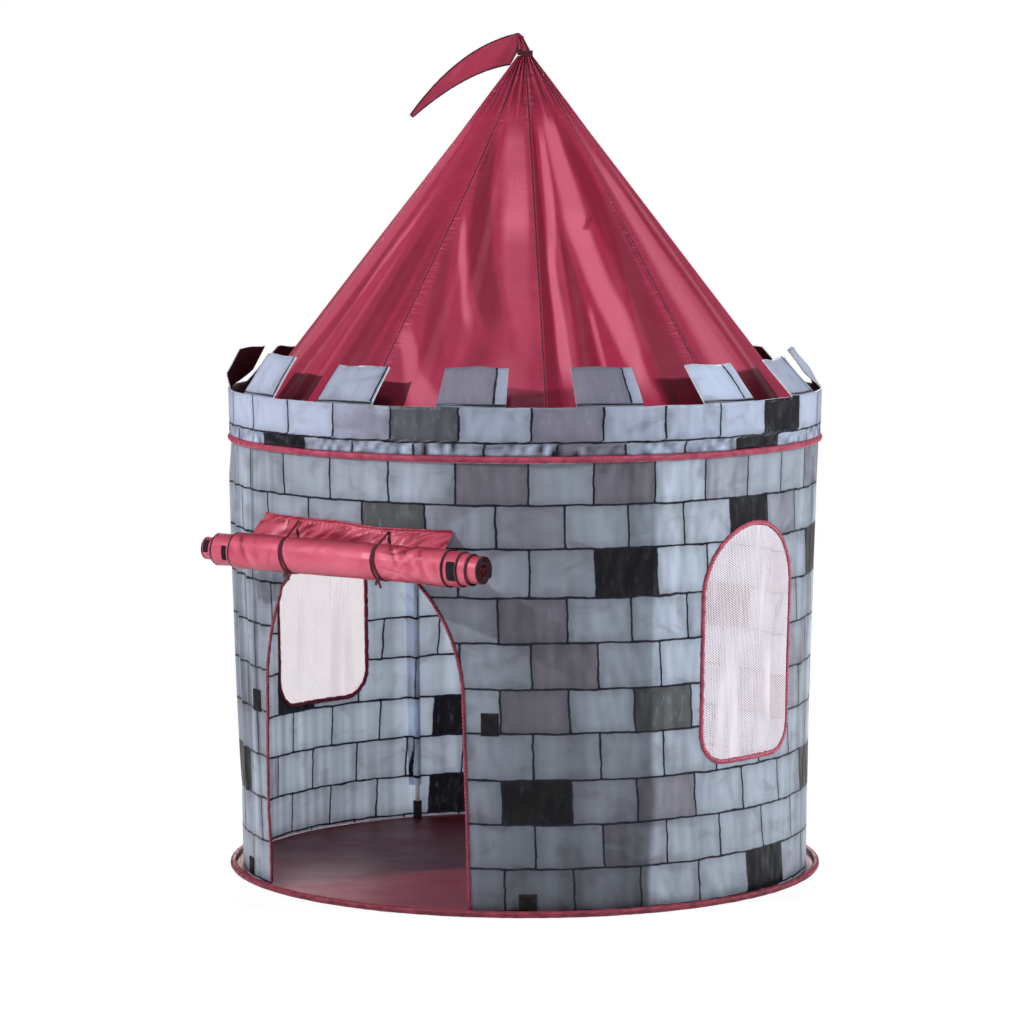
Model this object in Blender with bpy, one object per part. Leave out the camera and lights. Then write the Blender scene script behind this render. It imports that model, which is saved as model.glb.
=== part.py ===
"""Round castle play tent: printed wall on two hoops, conical roof, rolled-up door flap.

Metres, +Z up. The origin is on the tent's axis at the underside of the floor sheet, and the
door faces -Y. An azimuth is counted in degrees from the door towards +X.
"""

import math

import bmesh
import bpy
from mathutils import Vector

# Clearances
SEAM_GAP = 0.0003
SOCKET_GAP = 0.0005

# Hoops and the cloth sleeves that hold them
HOOP_RADIUS = 0.497
HOOP_HEIGHT = 0.7325
HOOP_WIRE_RADIUS = 0.0035
SLEEVE_RADIUS = 0.0055
SLEEVE_CLOTH = 0.0012
RING_STEPS = 72
WIRE_SIDES = 5
SLEEVE_START_DEGREES = 210.0
SLEEVE_FACETS = 5
SLEEVE_FACET_DEGREES = 60.0

# Floor and wall cloth
FLOOR_CLOTH = 0.0015
WALL_CLOTH = 0.0015
WALL_FOOT_INSET = 0.017
WALL_TOP_INSET = 0.0005
WALL_SAG = 0.003
POLE_RIDGE = 0.0015
POLE_RIDGE_DEGREES = 4.0
WALL_ROW_COUNT = 6
POLE_COUNT = 4
POLE_DOOR_MARGIN = 0.04323

# Doorway: two slightly flared sides under an elliptical arch
DOOR_HALF_WIDTH = 0.208
DOOR_FOOT_FLARE = 0.009
DOOR_TOP_DROP = 0.0325
DOOR_ARCH_RISE = 0.250
DOOR_FOOT_CLEARANCE = 0.009
DOOR_BINDING_RADIUS = 0.004
ARCH_STEPS = 14
LEG_STEPS = 4

# Net windows, opposite each other
WINDOW_AZIMUTHS = (85.0, 265.0)
WINDOW_HALF_WIDTH = 0.118
WINDOW_FOOT_HEIGHT = 0.231
WINDOW_TOP_DROP = 0.1165
WINDOW_ARCH_RISE = 0.115
WINDOW_CORNER_RADIUS = 0.050
WINDOW_BINDING_RADIUS = 0.0038
NET_CLOTH = 0.001
CORNER_STEPS = 4

# Battlement band and its merlons
BAND_CLOTH = 0.004
BAND_FOOT_OUTSET = 0.0015
BAND_FLARE = 0.001
BAND_HEIGHT = 0.0765
MERLON_COUNT = 14
MERLON_LENGTH = 0.083
MERLON_LEAN_DEGREES = 43.0
MERLON_STEPS = 3
MERLON_ROW_COUNT = 2
BAND_ROW_COUNT = 2

# Roof cone
ROOF_CLOTH = 0.0015
ROOF_NECK_RADIUS = 0.0107
ROOF_NECK_RISE = 0.6385
GORE_COUNT = 9
GORE_STEPS = 8
GORE_ROW_COUNT = 5
GORE_SAG = 0.006
GORE_ROW_POWER = 1.2
EAVE_SLEEVE_DEGREES = 120.0

# Tip: tie, tuft and pennant
TIE_RADIUS = 0.0022
TIE_STEPS = 20
TUFT_NECK_RADIUS = 0.0085
TUFT_TOP_RADIUS = 0.0145
TUFT_NECK_HEIGHT = 0.006
TUFT_HEIGHT = 0.036
TUFT_PLEATS = 5
TUFT_WIDEST_SHARE = 0.95
TUFT_PLEAT_SHARE = 0.14
PENNANT_AZIMUTH = -54.4
PENNANT_CLOTH = 0.0015
PENNANT_ROOF_GAP = 0.003
PENNANT_TOP_DROP = 0.0003
PENNANT_HOIST = 0.054
PENNANT_LENGTH = 0.176
PENNANT_DROP = 0.138
PENNANT_TIP_WIDTH = 0.004
PENNANT_UPPER_SHARES = (0.55, 0.15)
PENNANT_LOWER_SHARES = (0.41, 0.08)
PENNANT_WAVE = 0.006
PENNANT_STEPS = 10
PENNANT_ROW_COUNT = 3

# Poles, their sockets, channels and hub
POLE_RADIUS = 0.004
POLE_SIDES = 10
POLE_ROOF_GAP = 0.00025
CUP_RADIUS = 0.008
CUP_HEIGHT = 0.030
CUP_FLOOR = 0.003
ELBOW_RADIUS = 0.007
ELBOW_ARM = 0.046
ELBOW_BORE = 0.036
ELBOW_NEST = 0.0004
CHANNEL_CLOTH = 0.0012
CHANNEL_FOOT_HEIGHT = 0.060
CHANNEL_TOP_DROP = 0.0625
CHANNEL_FACETS = 4
HUB_DROP = 0.053
HUB_HEIGHT = 0.034
HUB_WALL = 0.0042
HUB_BORE = 0.026
HUB_SIDES = 24

# Rolled-up door flap, its header, ties and hook-and-loop pads
FLAP_CLOTH = 0.0016
HEADER_TOP_DROP = 0.110
HEADER_HALF_WIDTH = 0.1995
HEADER_STEPS = 10
HEADER_ROW_COUNT = 3
HEADER_REST_DEGREES = 72.0
ROLL_RADIUS = 0.0275
ROLL_DROP = 0.053
ROLL_WALL_GAP = 0.0032
ROLL_TURNS = 5
ROLL_CORE_RADIUS = 0.0037
ROLL_TURN_STEPS = 14
ROLL_HALF_LENGTH = 0.2165
ROLL_CORE_HALF_LENGTH = 0.2905
ROLL_SHIFT = 0.0095
ROLL_CORE_SHIFT = 0.0165
ROLL_STEP_TURN = 1.6
LOOP_TIE_OFFSET = 0.095
LOOP_TIE_WIDTH = 0.009
LOOP_TIE_CLOTH = 0.0012
LOOP_TIE_GAP = 0.0005
LOOP_STEPS = 14
LOOP_FIRST_DEGREES = 105.0
LOOP_LAST_DEGREES = 400.0
WALL_PAD_MARGIN = 0.0436
WALL_PAD_HEIGHT = 0.309
WALL_PAD_LENGTH = 0.037
FOOT_PAD_MARGIN = 0.106
FOOT_PAD_HEIGHT = 0.0205
FOOT_PAD_LENGTH = 0.030
PAD_WIDTH = 0.030
PAD_CLOTH = 0.0016
FLAP_PAD_WIDTH = 0.026
FLAP_PAD_INSET = 0.008
FLAP_PAD_STEPS = 4
FLAP_PAD_DEGREES = (150.0, 215.0)

# Edges that bend more than this stay sharp in the shading
SHARP_DEGREES = 40.0

# Overrun of the cutting shapes past the cloth
CUT_INSIDE = 0.040
CUT_OUTSIDE = 0.050

# Places worked out from the sizes above
BASE_HOOP_HEIGHT = SLEEVE_RADIUS + SEAM_GAP
FLOOR_DROP = BASE_HOOP_HEIGHT - FLOOR_CLOTH
FLOOR_RADIUS = HOOP_RADIUS - math.sqrt((SLEEVE_RADIUS + SEAM_GAP) ** 2 - FLOOR_DROP ** 2)
POLE_ARC = DOOR_HALF_WIDTH + DOOR_FOOT_FLARE + POLE_DOOR_MARGIN
POLE_SPREAD_DEGREES = 360.0 / POLE_COUNT
LAST_POLE_DEGREES = 360.0 - math.degrees(POLE_ARC / HOOP_RADIUS)
POLE_AZIMUTHS = [LAST_POLE_DEGREES - POLE_SPREAD_DEGREES * back for back in range(POLE_COUNT - 1, -1, -1)]
WALL_FOOT_RADIUS = HOOP_RADIUS - WALL_FOOT_INSET
WALL_TOP_RADIUS = HOOP_RADIUS - WALL_TOP_INSET
WALL_FOOT_HEIGHT = FLOOR_CLOTH + SEAM_GAP
WALL_TOP_HEIGHT = HOOP_HEIGHT - SLEEVE_RADIUS - SEAM_GAP
HEADER_TOP_HEIGHT = HOOP_HEIGHT - HEADER_TOP_DROP
HEADER_HALF_DEGREES = math.degrees(HEADER_HALF_WIDTH / HOOP_RADIUS)
ROLL_HEIGHT = HEADER_TOP_HEIGHT - ROLL_DROP
ROLL_PITCH = (ROLL_RADIUS - FLAP_CLOTH / 2 - ROLL_CORE_RADIUS) / ROLL_TURNS
DOOR_SPRING_HEIGHT = HEADER_TOP_HEIGHT - DOOR_TOP_DROP - DOOR_ARCH_RISE
WINDOW_TOP_HEIGHT = HOOP_HEIGHT - WINDOW_TOP_DROP
CHANNEL_TOP_HEIGHT = HOOP_HEIGHT - CHANNEL_TOP_DROP
BAND_FOOT_RADIUS = HOOP_RADIUS + BAND_FOOT_OUTSET
BAND_TOP_RADIUS = BAND_FOOT_RADIUS + BAND_FLARE
BAND_BASE_HEIGHT = HOOP_HEIGHT + SLEEVE_RADIUS + SEAM_GAP
BAND_RIM_HEIGHT = BAND_BASE_HEIGHT + BAND_HEIGHT
FACET_APOTHEM_SHARE = math.cos(math.radians(SLEEVE_FACET_DEGREES / 2))
EAVE_REACH = SLEEVE_RADIUS * FACET_APOTHEM_SHARE + 2 * SEAM_GAP
EAVE_RADIUS = HOOP_RADIUS + EAVE_REACH * math.cos(math.radians(EAVE_SLEEVE_DEGREES))
EAVE_HEIGHT = HOOP_HEIGHT + EAVE_REACH * math.sin(math.radians(EAVE_SLEEVE_DEGREES))
ROOF_NECK_HEIGHT = HOOP_HEIGHT + ROOF_NECK_RISE
ROOF_SLOPE = (EAVE_RADIUS - ROOF_NECK_RADIUS) / (ROOF_NECK_HEIGHT - EAVE_HEIGHT)
ROOF_TILT = math.atan(ROOF_SLOPE)
STEP_DEGREES = 360.0 / RING_STEPS
HUB_FOOT_HEIGHT = ROOF_NECK_HEIGHT - HUB_DROP
POLE_INSET = GORE_SAG + POLE_RADIUS + ROOF_CLOTH / 2 + POLE_ROOF_GAP
ELBOW_HOOP_INSET = SLEEVE_RADIUS + ELBOW_RADIUS - ELBOW_NEST
TUFT_FOOT_HEIGHT = ROOF_NECK_HEIGHT + ROOF_CLOTH / 2 * math.sin(ROOF_TILT) + SEAM_GAP
PENNANT_TOP_HEIGHT = TUFT_FOOT_HEIGHT + TUFT_HEIGHT - PENNANT_TOP_DROP
PENNANT_TOP_REACH = TUFT_TOP_RADIUS + SEAM_GAP
PENNANT_FOOT_REACH = (
    ROOF_NECK_RADIUS
    + ROOF_SLOPE * (ROOF_NECK_HEIGHT - PENNANT_TOP_HEIGHT + PENNANT_HOIST)
    + ROOF_CLOTH / 2 / math.cos(ROOF_TILT)
    + PENNANT_ROOF_GAP
)
UP = Vector((0.0, 0.0, 1.0))

# Colours
BURGUNDY = (0.33, 0.035, 0.07)
STONE = (0.36, 0.42, 0.50)
STEEL = (0.55, 0.56, 0.58)
FIBREGLASS = (0.80, 0.80, 0.76)
BLACK = (0.02, 0.02, 0.022)
NET_WHITE = (0.86, 0.82, 0.84)


def clear_scene():
    for old in list(bpy.data.objects):
        bpy.data.objects.remove(old, do_unlink=True)


def make_material(name, colour, roughness, metallic=0.0):
    material = bpy.data.materials.new(name)
    material.use_nodes = True
    shader = material.node_tree.nodes["Principled BSDF"]
    shader.inputs["Base Color"].default_value = (*colour, 1.0)
    shader.inputs["Roughness"].default_value = roughness
    shader.inputs["Metallic"].default_value = metallic
    material.diffuse_color = (*colour, 1.0)
    return material


def on_circle(azimuth, radius, height):
    turn = math.radians(azimuth)
    return Vector((radius * math.sin(turn), -radius * math.cos(turn), height))


def outward(azimuth):
    return on_circle(azimuth, 1.0, 0.0)


def add_object(name, bm, material):
    """Link a finished bmesh as one object, with its faces pointing out."""
    bmesh.ops.recalc_face_normals(bm, faces=bm.faces[:])
    mesh = bpy.data.meshes.new(name)
    bm.to_mesh(mesh)
    bm.free()
    mesh.materials.append(material)
    mesh.shade_smooth()
    mesh.set_sharp_from_angle(angle=math.radians(SHARP_DEGREES))
    piece = bpy.data.objects.new(name, mesh)
    bpy.context.collection.objects.link(piece)
    return piece


def add_cutter(name, bm):
    bmesh.ops.recalc_face_normals(bm, faces=bm.faces[:])
    mesh = bpy.data.meshes.new(name)
    bm.to_mesh(mesh)
    bm.free()
    cutter = bpy.data.objects.new(name, mesh)
    cutter.hide_render = True
    cutter.display_type = "WIRE"
    bpy.context.collection.objects.link(cutter)
    return cutter


def combine(piece, cutter, operation="DIFFERENCE"):
    modifier = piece.modifiers.new(operation.lower() + "_" + cutter.name, "BOOLEAN")
    modifier.operation = operation
    modifier.solver = "EXACT"
    modifier.object = cutter


def cloth_solid(name, columns, rows, place, material, closed=False, has_cell=None):
    """A sheet with thickness. place(column, row, side) gives a point of the inner face for side
    -1 and of the outer face for side +1, where column and row count from 0."""
    bm = bmesh.new()
    made = {}

    def vertex(column, row, side):
        key = (column % columns if closed else column, row, side)
        if key not in made:
            made[key] = bm.verts.new(place(key[0], row, side))
        return made[key]

    def cell(column, row):
        if not 0 <= row < rows:
            return False
        if closed:
            column = column % columns
        elif not 0 <= column < columns:
            return False
        return has_cell is None or has_cell(column, row)

    def rim(start, end):
        bm.faces.new((vertex(*start, -1), vertex(*end, -1), vertex(*end, 1), vertex(*start, 1)))

    for column in range(columns):
        for row in range(rows):
            if not cell(column, row):
                continue
            corners = ((column, row), (column + 1, row), (column + 1, row + 1), (column, row + 1))
            bm.faces.new([vertex(*corner, 1) for corner in corners])
            bm.faces.new([vertex(*corner, -1) for corner in reversed(corners)])
            neighbours = ((column, row - 1), (column + 1, row), (column, row + 1), (column - 1, row))
            for index, neighbour in enumerate(neighbours):
                if not cell(*neighbour):
                    rim(corners[index], corners[(index + 1) % 4])
    return add_object(name, bm, material)


def turned_ring(name, profile, steps, material):
    """A closed outline of (radius, height) points turned round the tent's axis."""
    bm = bmesh.new()
    rings = []
    for step in range(steps):
        azimuth = 360.0 * step / steps
        rings.append([bm.verts.new(on_circle(azimuth, radius, height)) for radius, height in profile])
    for step in range(steps):
        here = rings[step]
        there = rings[(step + 1) % steps]
        for index in range(len(profile)):
            after = (index + 1) % len(profile)
            bm.faces.new((here[index], there[index], there[after], here[after]))
    return add_object(name, bm, material)


def turned_solid(name, profile, steps, place, material, pleats=0):
    """A profile of (radius, along) points turned round its own axis and closed at both ends.
    place(side, depth, along) puts it in the tent."""
    bm = bmesh.new()
    rings = []
    for radius, along in profile:
        ring = []
        for step in range(steps):
            turn = 2 * math.pi * step / steps
            swell = 1 + TUFT_PLEAT_SHARE * math.cos(pleats * turn) if pleats else 1
            side = radius * swell * math.cos(turn)
            depth = radius * swell * math.sin(turn)
            ring.append(bm.verts.new(place(side, depth, along)))
        rings.append(ring)
    for here, there in zip(rings, rings[1:]):
        for index in range(steps):
            after = (index + 1) % steps
            bm.faces.new((here[index], here[after], there[after], there[index]))
    bm.faces.new(rings[0])
    bm.faces.new(rings[-1])
    return add_object(name, bm, material)


def upright(side, depth, along):
    return Vector((side, depth, along))


def frame_along(start, end, guide):
    """A placing function whose axis runs from start to end, with one side turned to guide."""
    axis = (end - start).normalized()
    depth_axis = axis.cross(guide).normalized()
    side_axis = depth_axis.cross(axis)
    return lambda side, depth, along: start + side_axis * side + depth_axis * depth + axis * along


def rod_mesh(start, end, radius, sides, guide):
    bm = bmesh.new()
    place = frame_along(start, end, guide)
    length = (end - start).length
    ends = []
    for along in (0.0, length):
        ring = []
        for index in range(sides):
            turn = 2 * math.pi * index / sides
            ring.append(bm.verts.new(place(radius * math.cos(turn), radius * math.sin(turn), along)))
        ends.append(ring)
    for index in range(sides):
        after = (index + 1) % sides
        bm.faces.new((ends[0][index], ends[0][after], ends[1][after], ends[1][index]))
    bm.faces.new(ends[0])
    bm.faces.new(ends[1])
    return bm


def tube(name, points, radius, material, cyclic=False):
    curve = bpy.data.curves.new(name, "CURVE")
    curve.dimensions = "3D"
    curve.bevel_depth = radius
    curve.bevel_resolution = 1
    curve.use_fill_caps = True
    spline = curve.splines.new("POLY")
    spline.points.add(len(points) - 1)
    for target, point in zip(spline.points, points):
        target.co = (*point, 1.0)
    spline.use_cyclic_u = cyclic
    curve.materials.append(material)
    piece = bpy.data.objects.new(name, curve)
    bpy.context.collection.objects.link(piece)
    return piece


# Floor, hoops and sleeves


def sleeve_profile(centre_height):
    """A strip folded round the hoop, open towards the tent's axis."""
    outer = []
    inner = []
    for facet in range(SLEEVE_FACETS + 1):
        turn = math.radians(SLEEVE_START_DEGREES + facet * SLEEVE_FACET_DEGREES)
        for ring, radius in ((outer, SLEEVE_RADIUS), (inner, SLEEVE_RADIUS - SLEEVE_CLOTH)):
            ring.append((HOOP_RADIUS + radius * math.cos(turn), centre_height + radius * math.sin(turn)))
    return outer + inner[::-1]


def wire_profile(centre_height):
    """The hoop lies against the outside of its sleeve."""
    bore = (SLEEVE_RADIUS - SLEEVE_CLOTH) * FACET_APOTHEM_SHARE
    radius = min(HOOP_WIRE_RADIUS, bore - SEAM_GAP)
    shift = bore - SEAM_GAP - radius
    points = []
    for index in range(WIRE_SIDES):
        turn = 2 * math.pi * index / WIRE_SIDES
        reach = HOOP_RADIUS + shift + radius * math.cos(turn)
        points.append((reach, centre_height + radius * math.sin(turn)))
    return points


def build_floor(cloth):
    bm = bmesh.new()
    rings = []
    for height in (0.0, FLOOR_CLOTH):
        edge = [on_circle(STEP_DEGREES * step, FLOOR_RADIUS, height) for step in range(RING_STEPS)]
        ring = [bm.verts.new(point) for point in edge]
        rings.append(ring)
        bm.faces.new(ring)
    for step in range(RING_STEPS):
        after = (step + 1) % RING_STEPS
        bm.faces.new((rings[0][step], rings[0][after], rings[1][after], rings[1][step]))
    add_object("floor_sheet", bm, cloth)


def build_hoops(cloth, steel):
    for name, height in (("base_hoop", BASE_HOOP_HEIGHT), ("top_hoop", HOOP_HEIGHT)):
        turned_ring(name, wire_profile(height), RING_STEPS, steel)
        turned_ring(name + "_sleeve", sleeve_profile(height), RING_STEPS, cloth)


# Wall


def azimuth_gap(azimuth, other):
    return abs((azimuth - other + 180.0) % 360.0 - 180.0)


def wall_radius(azimuth, height):
    """Middle of the wall cloth: tapered, sagging between the poles, lifted on each pole."""
    share = min(max(height / HOOP_HEIGHT, 0.0), 1.0)
    radius = WALL_FOOT_RADIUS + (WALL_TOP_RADIUS - WALL_FOOT_RADIUS) * share
    between = abs(math.sin(math.radians(2 * (azimuth - POLE_AZIMUTHS[0]))))
    nearest = min(azimuth_gap(azimuth, pole) for pole in POLE_AZIMUTHS)
    ridge = POLE_RIDGE * math.exp(-((nearest / POLE_RIDGE_DEGREES) ** 2))
    bow = math.sin(math.pi * share)
    return radius - WALL_SAG * between * bow + ridge * bow


def wall_outside(azimuth, height):
    return wall_radius(azimuth, height) + WALL_CLOTH / 2


def wall_point(arc, height, azimuth, lift=0.0):
    """A point of the wall at an arc length to the side of an azimuth."""
    turn = azimuth + math.degrees(arc / HOOP_RADIUS)
    return on_circle(turn, wall_radius(turn, height) + lift, height)


def door_outline(offset):
    """Doorway edge from the right foot over the arch to the left foot, as (arc, height)."""
    half = DOOR_HALF_WIDTH + offset
    foot = half + DOOR_FOOT_FLARE
    points = []
    for step in range(LEG_STEPS):
        share = step / LEG_STEPS
        height = DOOR_FOOT_CLEARANCE + (DOOR_SPRING_HEIGHT - DOOR_FOOT_CLEARANCE) * share
        points.append((foot - (foot - half) * share, height))
    for step in range(ARCH_STEPS + 1):
        turn = math.pi * step / ARCH_STEPS
        height = DOOR_SPRING_HEIGHT + (DOOR_ARCH_RISE + offset) * math.sin(turn)
        points.append((half * math.cos(turn), height))
    for step in range(LEG_STEPS - 1, -1, -1):
        arc, height = points[step]
        points.append((-arc, height))
    return points


def window_outline(offset):
    """Window edge round from the foot corners to the elliptical top, as (arc, height)."""
    half = WINDOW_HALF_WIDTH + offset
    foot = WINDOW_FOOT_HEIGHT - offset
    corner = WINDOW_CORNER_RADIUS + offset
    spring = WINDOW_TOP_HEIGHT - WINDOW_ARCH_RISE
    points = []
    for side, first in ((-1, 180.0), (1, 270.0)):
        for step in range(CORNER_STEPS + 1):
            turn = math.radians(first + 90.0 * step / CORNER_STEPS)
            arc = side * (half - corner) + corner * math.cos(turn)
            points.append((arc, foot + corner + corner * math.sin(turn)))
    leg_foot = foot + corner
    for step in range(1, LEG_STEPS):
        points.append((half, leg_foot + (spring - leg_foot) * step / LEG_STEPS))
    for step in range(ARCH_STEPS + 1):
        turn = math.pi * step / ARCH_STEPS
        points.append((half * math.cos(turn), spring + (WINDOW_ARCH_RISE + offset) * math.sin(turn)))
    for step in range(1, LEG_STEPS):
        points.append((-half, spring + (leg_foot - spring) * step / LEG_STEPS))
    return points


def wall_cutter(name, outline, azimuth):
    """A straight block of the outline's shape that runs through the wall at an azimuth."""
    side = outward(azimuth + 90.0)
    out = outward(azimuth)
    edge = [wall_point(arc, height, azimuth) for arc, height in outline]
    nearest = min(point.dot(out) for point in edge) - CUT_INSIDE
    farthest = WALL_TOP_RADIUS + CUT_OUTSIDE
    bm = bmesh.new()
    rings = []
    for depth in (nearest, farthest):
        ring = [bm.verts.new(side * point.dot(side) + out * depth + UP * point.z) for point in edge]
        rings.append(ring)
        bm.faces.new(ring)
    for index in range(len(outline)):
        after = (index + 1) % len(outline)
        bm.faces.new((rings[0][index], rings[0][after], rings[1][after], rings[1][index]))
    return add_cutter(name, bm)


def build_wall(print_cloth, cloth, net_cloth):
    seam_degrees = math.degrees(SEAM_GAP / HOOP_RADIUS)
    names = ("wall_right_panel", "wall_back_panel", "wall_left_panel", "wall_door_panel")
    panels = {}
    for index, name in enumerate(names):
        start = POLE_AZIMUTHS[index]
        steps = round(POLE_SPREAD_DEGREES / STEP_DEGREES)

        def place(column, row, side, start=start, steps=steps):
            azimuth = start + column * STEP_DEGREES
            if column == 0:
                azimuth += seam_degrees
            if column == steps:
                azimuth -= seam_degrees
            height = WALL_FOOT_HEIGHT + (WALL_TOP_HEIGHT - WALL_FOOT_HEIGHT) * row / WALL_ROW_COUNT
            return on_circle(azimuth, wall_radius(azimuth, height) + side * WALL_CLOTH / 2, height)

        panels[name] = cloth_solid(name, steps, WALL_ROW_COUNT, place, print_cloth)

    door = door_outline(0.0)
    opening = door_outline(DOOR_BINDING_RADIUS + 2 * SEAM_GAP)
    below = WALL_FOOT_HEIGHT - CUT_INSIDE
    opening = [(opening[0][0], below)] + opening + [(opening[-1][0], below)]
    combine(panels["wall_door_panel"], wall_cutter("door_cutter", opening, 0.0))
    tube("door_binding", [wall_point(arc, height, 0.0) for arc, height in door], DOOR_BINDING_RADIUS, cloth)

    sides = (("right", "wall_right_panel"), ("left", "wall_left_panel"))
    for azimuth, (side_name, panel_name) in zip(WINDOW_AZIMUTHS, sides):
        clear = WINDOW_BINDING_RADIUS + 2 * SEAM_GAP
        cutter = wall_cutter("window_cutter_" + side_name, window_outline(clear), azimuth)
        combine(panels[panel_name], cutter)
        edge = [wall_point(arc, height, azimuth) for arc, height in window_outline(0.0)]
        tube("window_binding_" + side_name, edge, WINDOW_BINDING_RADIUS, cloth, cyclic=True)
        build_net(side_name, azimuth, net_cloth)


def build_net(side_name, azimuth, net_cloth):
    reach = math.degrees((WINDOW_HALF_WIDTH + WINDOW_BINDING_RADIUS) / HOOP_RADIUS)
    steps = 2 * math.ceil(reach / STEP_DEGREES)
    rows = WALL_ROW_COUNT - 1
    foot = WINDOW_FOOT_HEIGHT - WINDOW_BINDING_RADIUS
    top = WINDOW_TOP_HEIGHT + WINDOW_BINDING_RADIUS

    def place(column, row, side):
        turn = azimuth + (column - steps / 2) * STEP_DEGREES
        height = foot + (top - foot) * row / rows
        return on_circle(turn, wall_radius(turn, height) + side * NET_CLOTH / 2, height)

    net = cloth_solid("window_net_" + side_name, steps, rows, place, net_cloth)
    outline = window_outline(-WINDOW_BINDING_RADIUS - 2 * SEAM_GAP)
    combine(net, wall_cutter("net_cutter_" + side_name, outline, azimuth), "INTERSECT")


def build_wall_pads(pad_cloth):
    """Two pads beside the doorway and two at its foot, a pair on each side."""
    half_turn = math.degrees(PAD_WIDTH / 2 / HOOP_RADIUS)
    pads = []
    for margin, height, length in (
        (WALL_PAD_MARGIN, WALL_PAD_HEIGHT, WALL_PAD_LENGTH),
        (FOOT_PAD_MARGIN, FOOT_PAD_HEIGHT, FOOT_PAD_LENGTH),
    ):
        azimuth = math.degrees((DOOR_HALF_WIDTH + margin) / HOOP_RADIUS)
        pads += [(azimuth, height, length), (-azimuth, height, length)]

    for number, (azimuth, height, length) in enumerate(pads, start=1):

        def place(column, row, side, azimuth=azimuth, height=height, length=length):
            turn = azimuth + (column - 1) * half_turn
            level = height + (row - 0.5) * length
            lift = SEAM_GAP + PAD_CLOTH * (side + 1) / 2
            return on_circle(turn, wall_outside(turn, level) + lift, level)

        cloth_solid("wall_pad_" + str(number), 2, 1, place, pad_cloth)


# Battlement band


def build_band(print_cloth):
    part_steps = 2 * MERLON_STEPS
    columns = MERLON_COUNT * part_steps
    lean = math.radians(MERLON_LEAN_DEGREES)
    period = 360.0 / MERLON_COUNT

    def place(column, row, side):
        azimuth = (column - MERLON_STEPS / 2) * period / part_steps
        half = side * BAND_CLOTH / 2
        if row < BAND_ROW_COUNT:
            share = row / BAND_ROW_COUNT
            radius = BAND_FOOT_RADIUS + (BAND_TOP_RADIUS - BAND_FOOT_RADIUS) * share
            return on_circle(azimuth, radius + half, BAND_BASE_HEIGHT + BAND_HEIGHT * share)
        centre = round(azimuth / period) * period
        if row == BAND_ROW_COUNT:
            rim = on_circle(azimuth, BAND_TOP_RADIUS + half, BAND_RIM_HEIGHT)
            return rim + Vector((0.0, 0.0, half * math.tan(lean / 2)))
        along = MERLON_LENGTH * (row - BAND_ROW_COUNT) / MERLON_ROW_COUNT
        root = on_circle(azimuth, BAND_TOP_RADIUS, BAND_RIM_HEIGHT)
        inward = -outward(centre)
        tab = inward * math.sin(lean) + UP * math.cos(lean)
        normal = -inward * math.cos(lean) + UP * math.sin(lean)
        return root + tab * along + normal * half

    def has_cell(column, row):
        return row < BAND_ROW_COUNT or column % part_steps < MERLON_STEPS

    rows = BAND_ROW_COUNT + MERLON_ROW_COUNT
    cloth_solid("battlement_band", columns, rows, place, print_cloth, closed=True, has_cell=has_cell)


# Roof


def roof_radius(azimuth, height):
    """Middle of the roof cloth: a cone that sags between its seams."""
    share = (height - EAVE_HEIGHT) / (ROOF_NECK_HEIGHT - EAVE_HEIGHT)
    gore = 360.0 / GORE_COUNT
    across = math.sin(math.pi * (azimuth % gore) / gore) ** 2
    flat = EAVE_RADIUS + (ROOF_NECK_RADIUS - EAVE_RADIUS) * share
    return flat - GORE_SAG * across * math.sin(math.pi * share)


def build_roof(cloth):
    gore = 360.0 / GORE_COUNT

    for index in range(GORE_COUNT):
        start = index * gore

        def place(column, row, side, start=start):
            share = 1 - (1 - row / GORE_ROW_COUNT) ** GORE_ROW_POWER
            height = EAVE_HEIGHT + (ROOF_NECK_HEIGHT - EAVE_HEIGHT) * share
            azimuth = start + gore * column / GORE_STEPS
            radius = roof_radius(azimuth, height) + side * ROOF_CLOTH / 2 * math.cos(ROOF_TILT)
            point = on_circle(azimuth, radius, height + side * ROOF_CLOTH / 2 * math.sin(ROOF_TILT))
            seam = on_circle(azimuth + 90.0, SEAM_GAP / 2, 0.0)
            if column == 0:
                point += seam
            if column == GORE_STEPS:
                point -= seam
            return point

        cloth_solid("roof_gore_" + str(index + 1), GORE_STEPS, GORE_ROW_COUNT, place, cloth)


def build_tip(cloth, dark_cloth):
    gather = TUFT_FOOT_HEIGHT
    neck_top = gather + TUFT_NECK_HEIGHT
    neck_radius = TUFT_NECK_RADIUS
    swell = 1 + TUFT_PLEAT_SHARE
    profile = (
        (neck_radius, gather),
        (neck_radius, neck_top),
        ((neck_radius + TUFT_TOP_RADIUS) / 2, gather + TUFT_HEIGHT / 2),
        (TUFT_TOP_RADIUS / swell, gather + TUFT_HEIGHT * TUFT_WIDEST_SHARE),
        (TUFT_NECK_RADIUS, gather + TUFT_HEIGHT),
    )
    turned_solid("apex_tuft", profile, 3 * TUFT_PLEATS, upright, cloth, pleats=TUFT_PLEATS)
    ring_radius = neck_radius * swell + SEAM_GAP + TIE_RADIUS
    ring_height = gather + TIE_RADIUS
    knot = [on_circle(360.0 * step / TIE_STEPS, ring_radius, ring_height) for step in range(TIE_STEPS)]
    tube("apex_tie", knot, TIE_RADIUS, dark_cloth, cyclic=True)


def pennant_edge(start, control, end, share):
    return start * (1 - share) ** 2 + control * (2 * share * (1 - share)) + end * share ** 2


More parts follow.
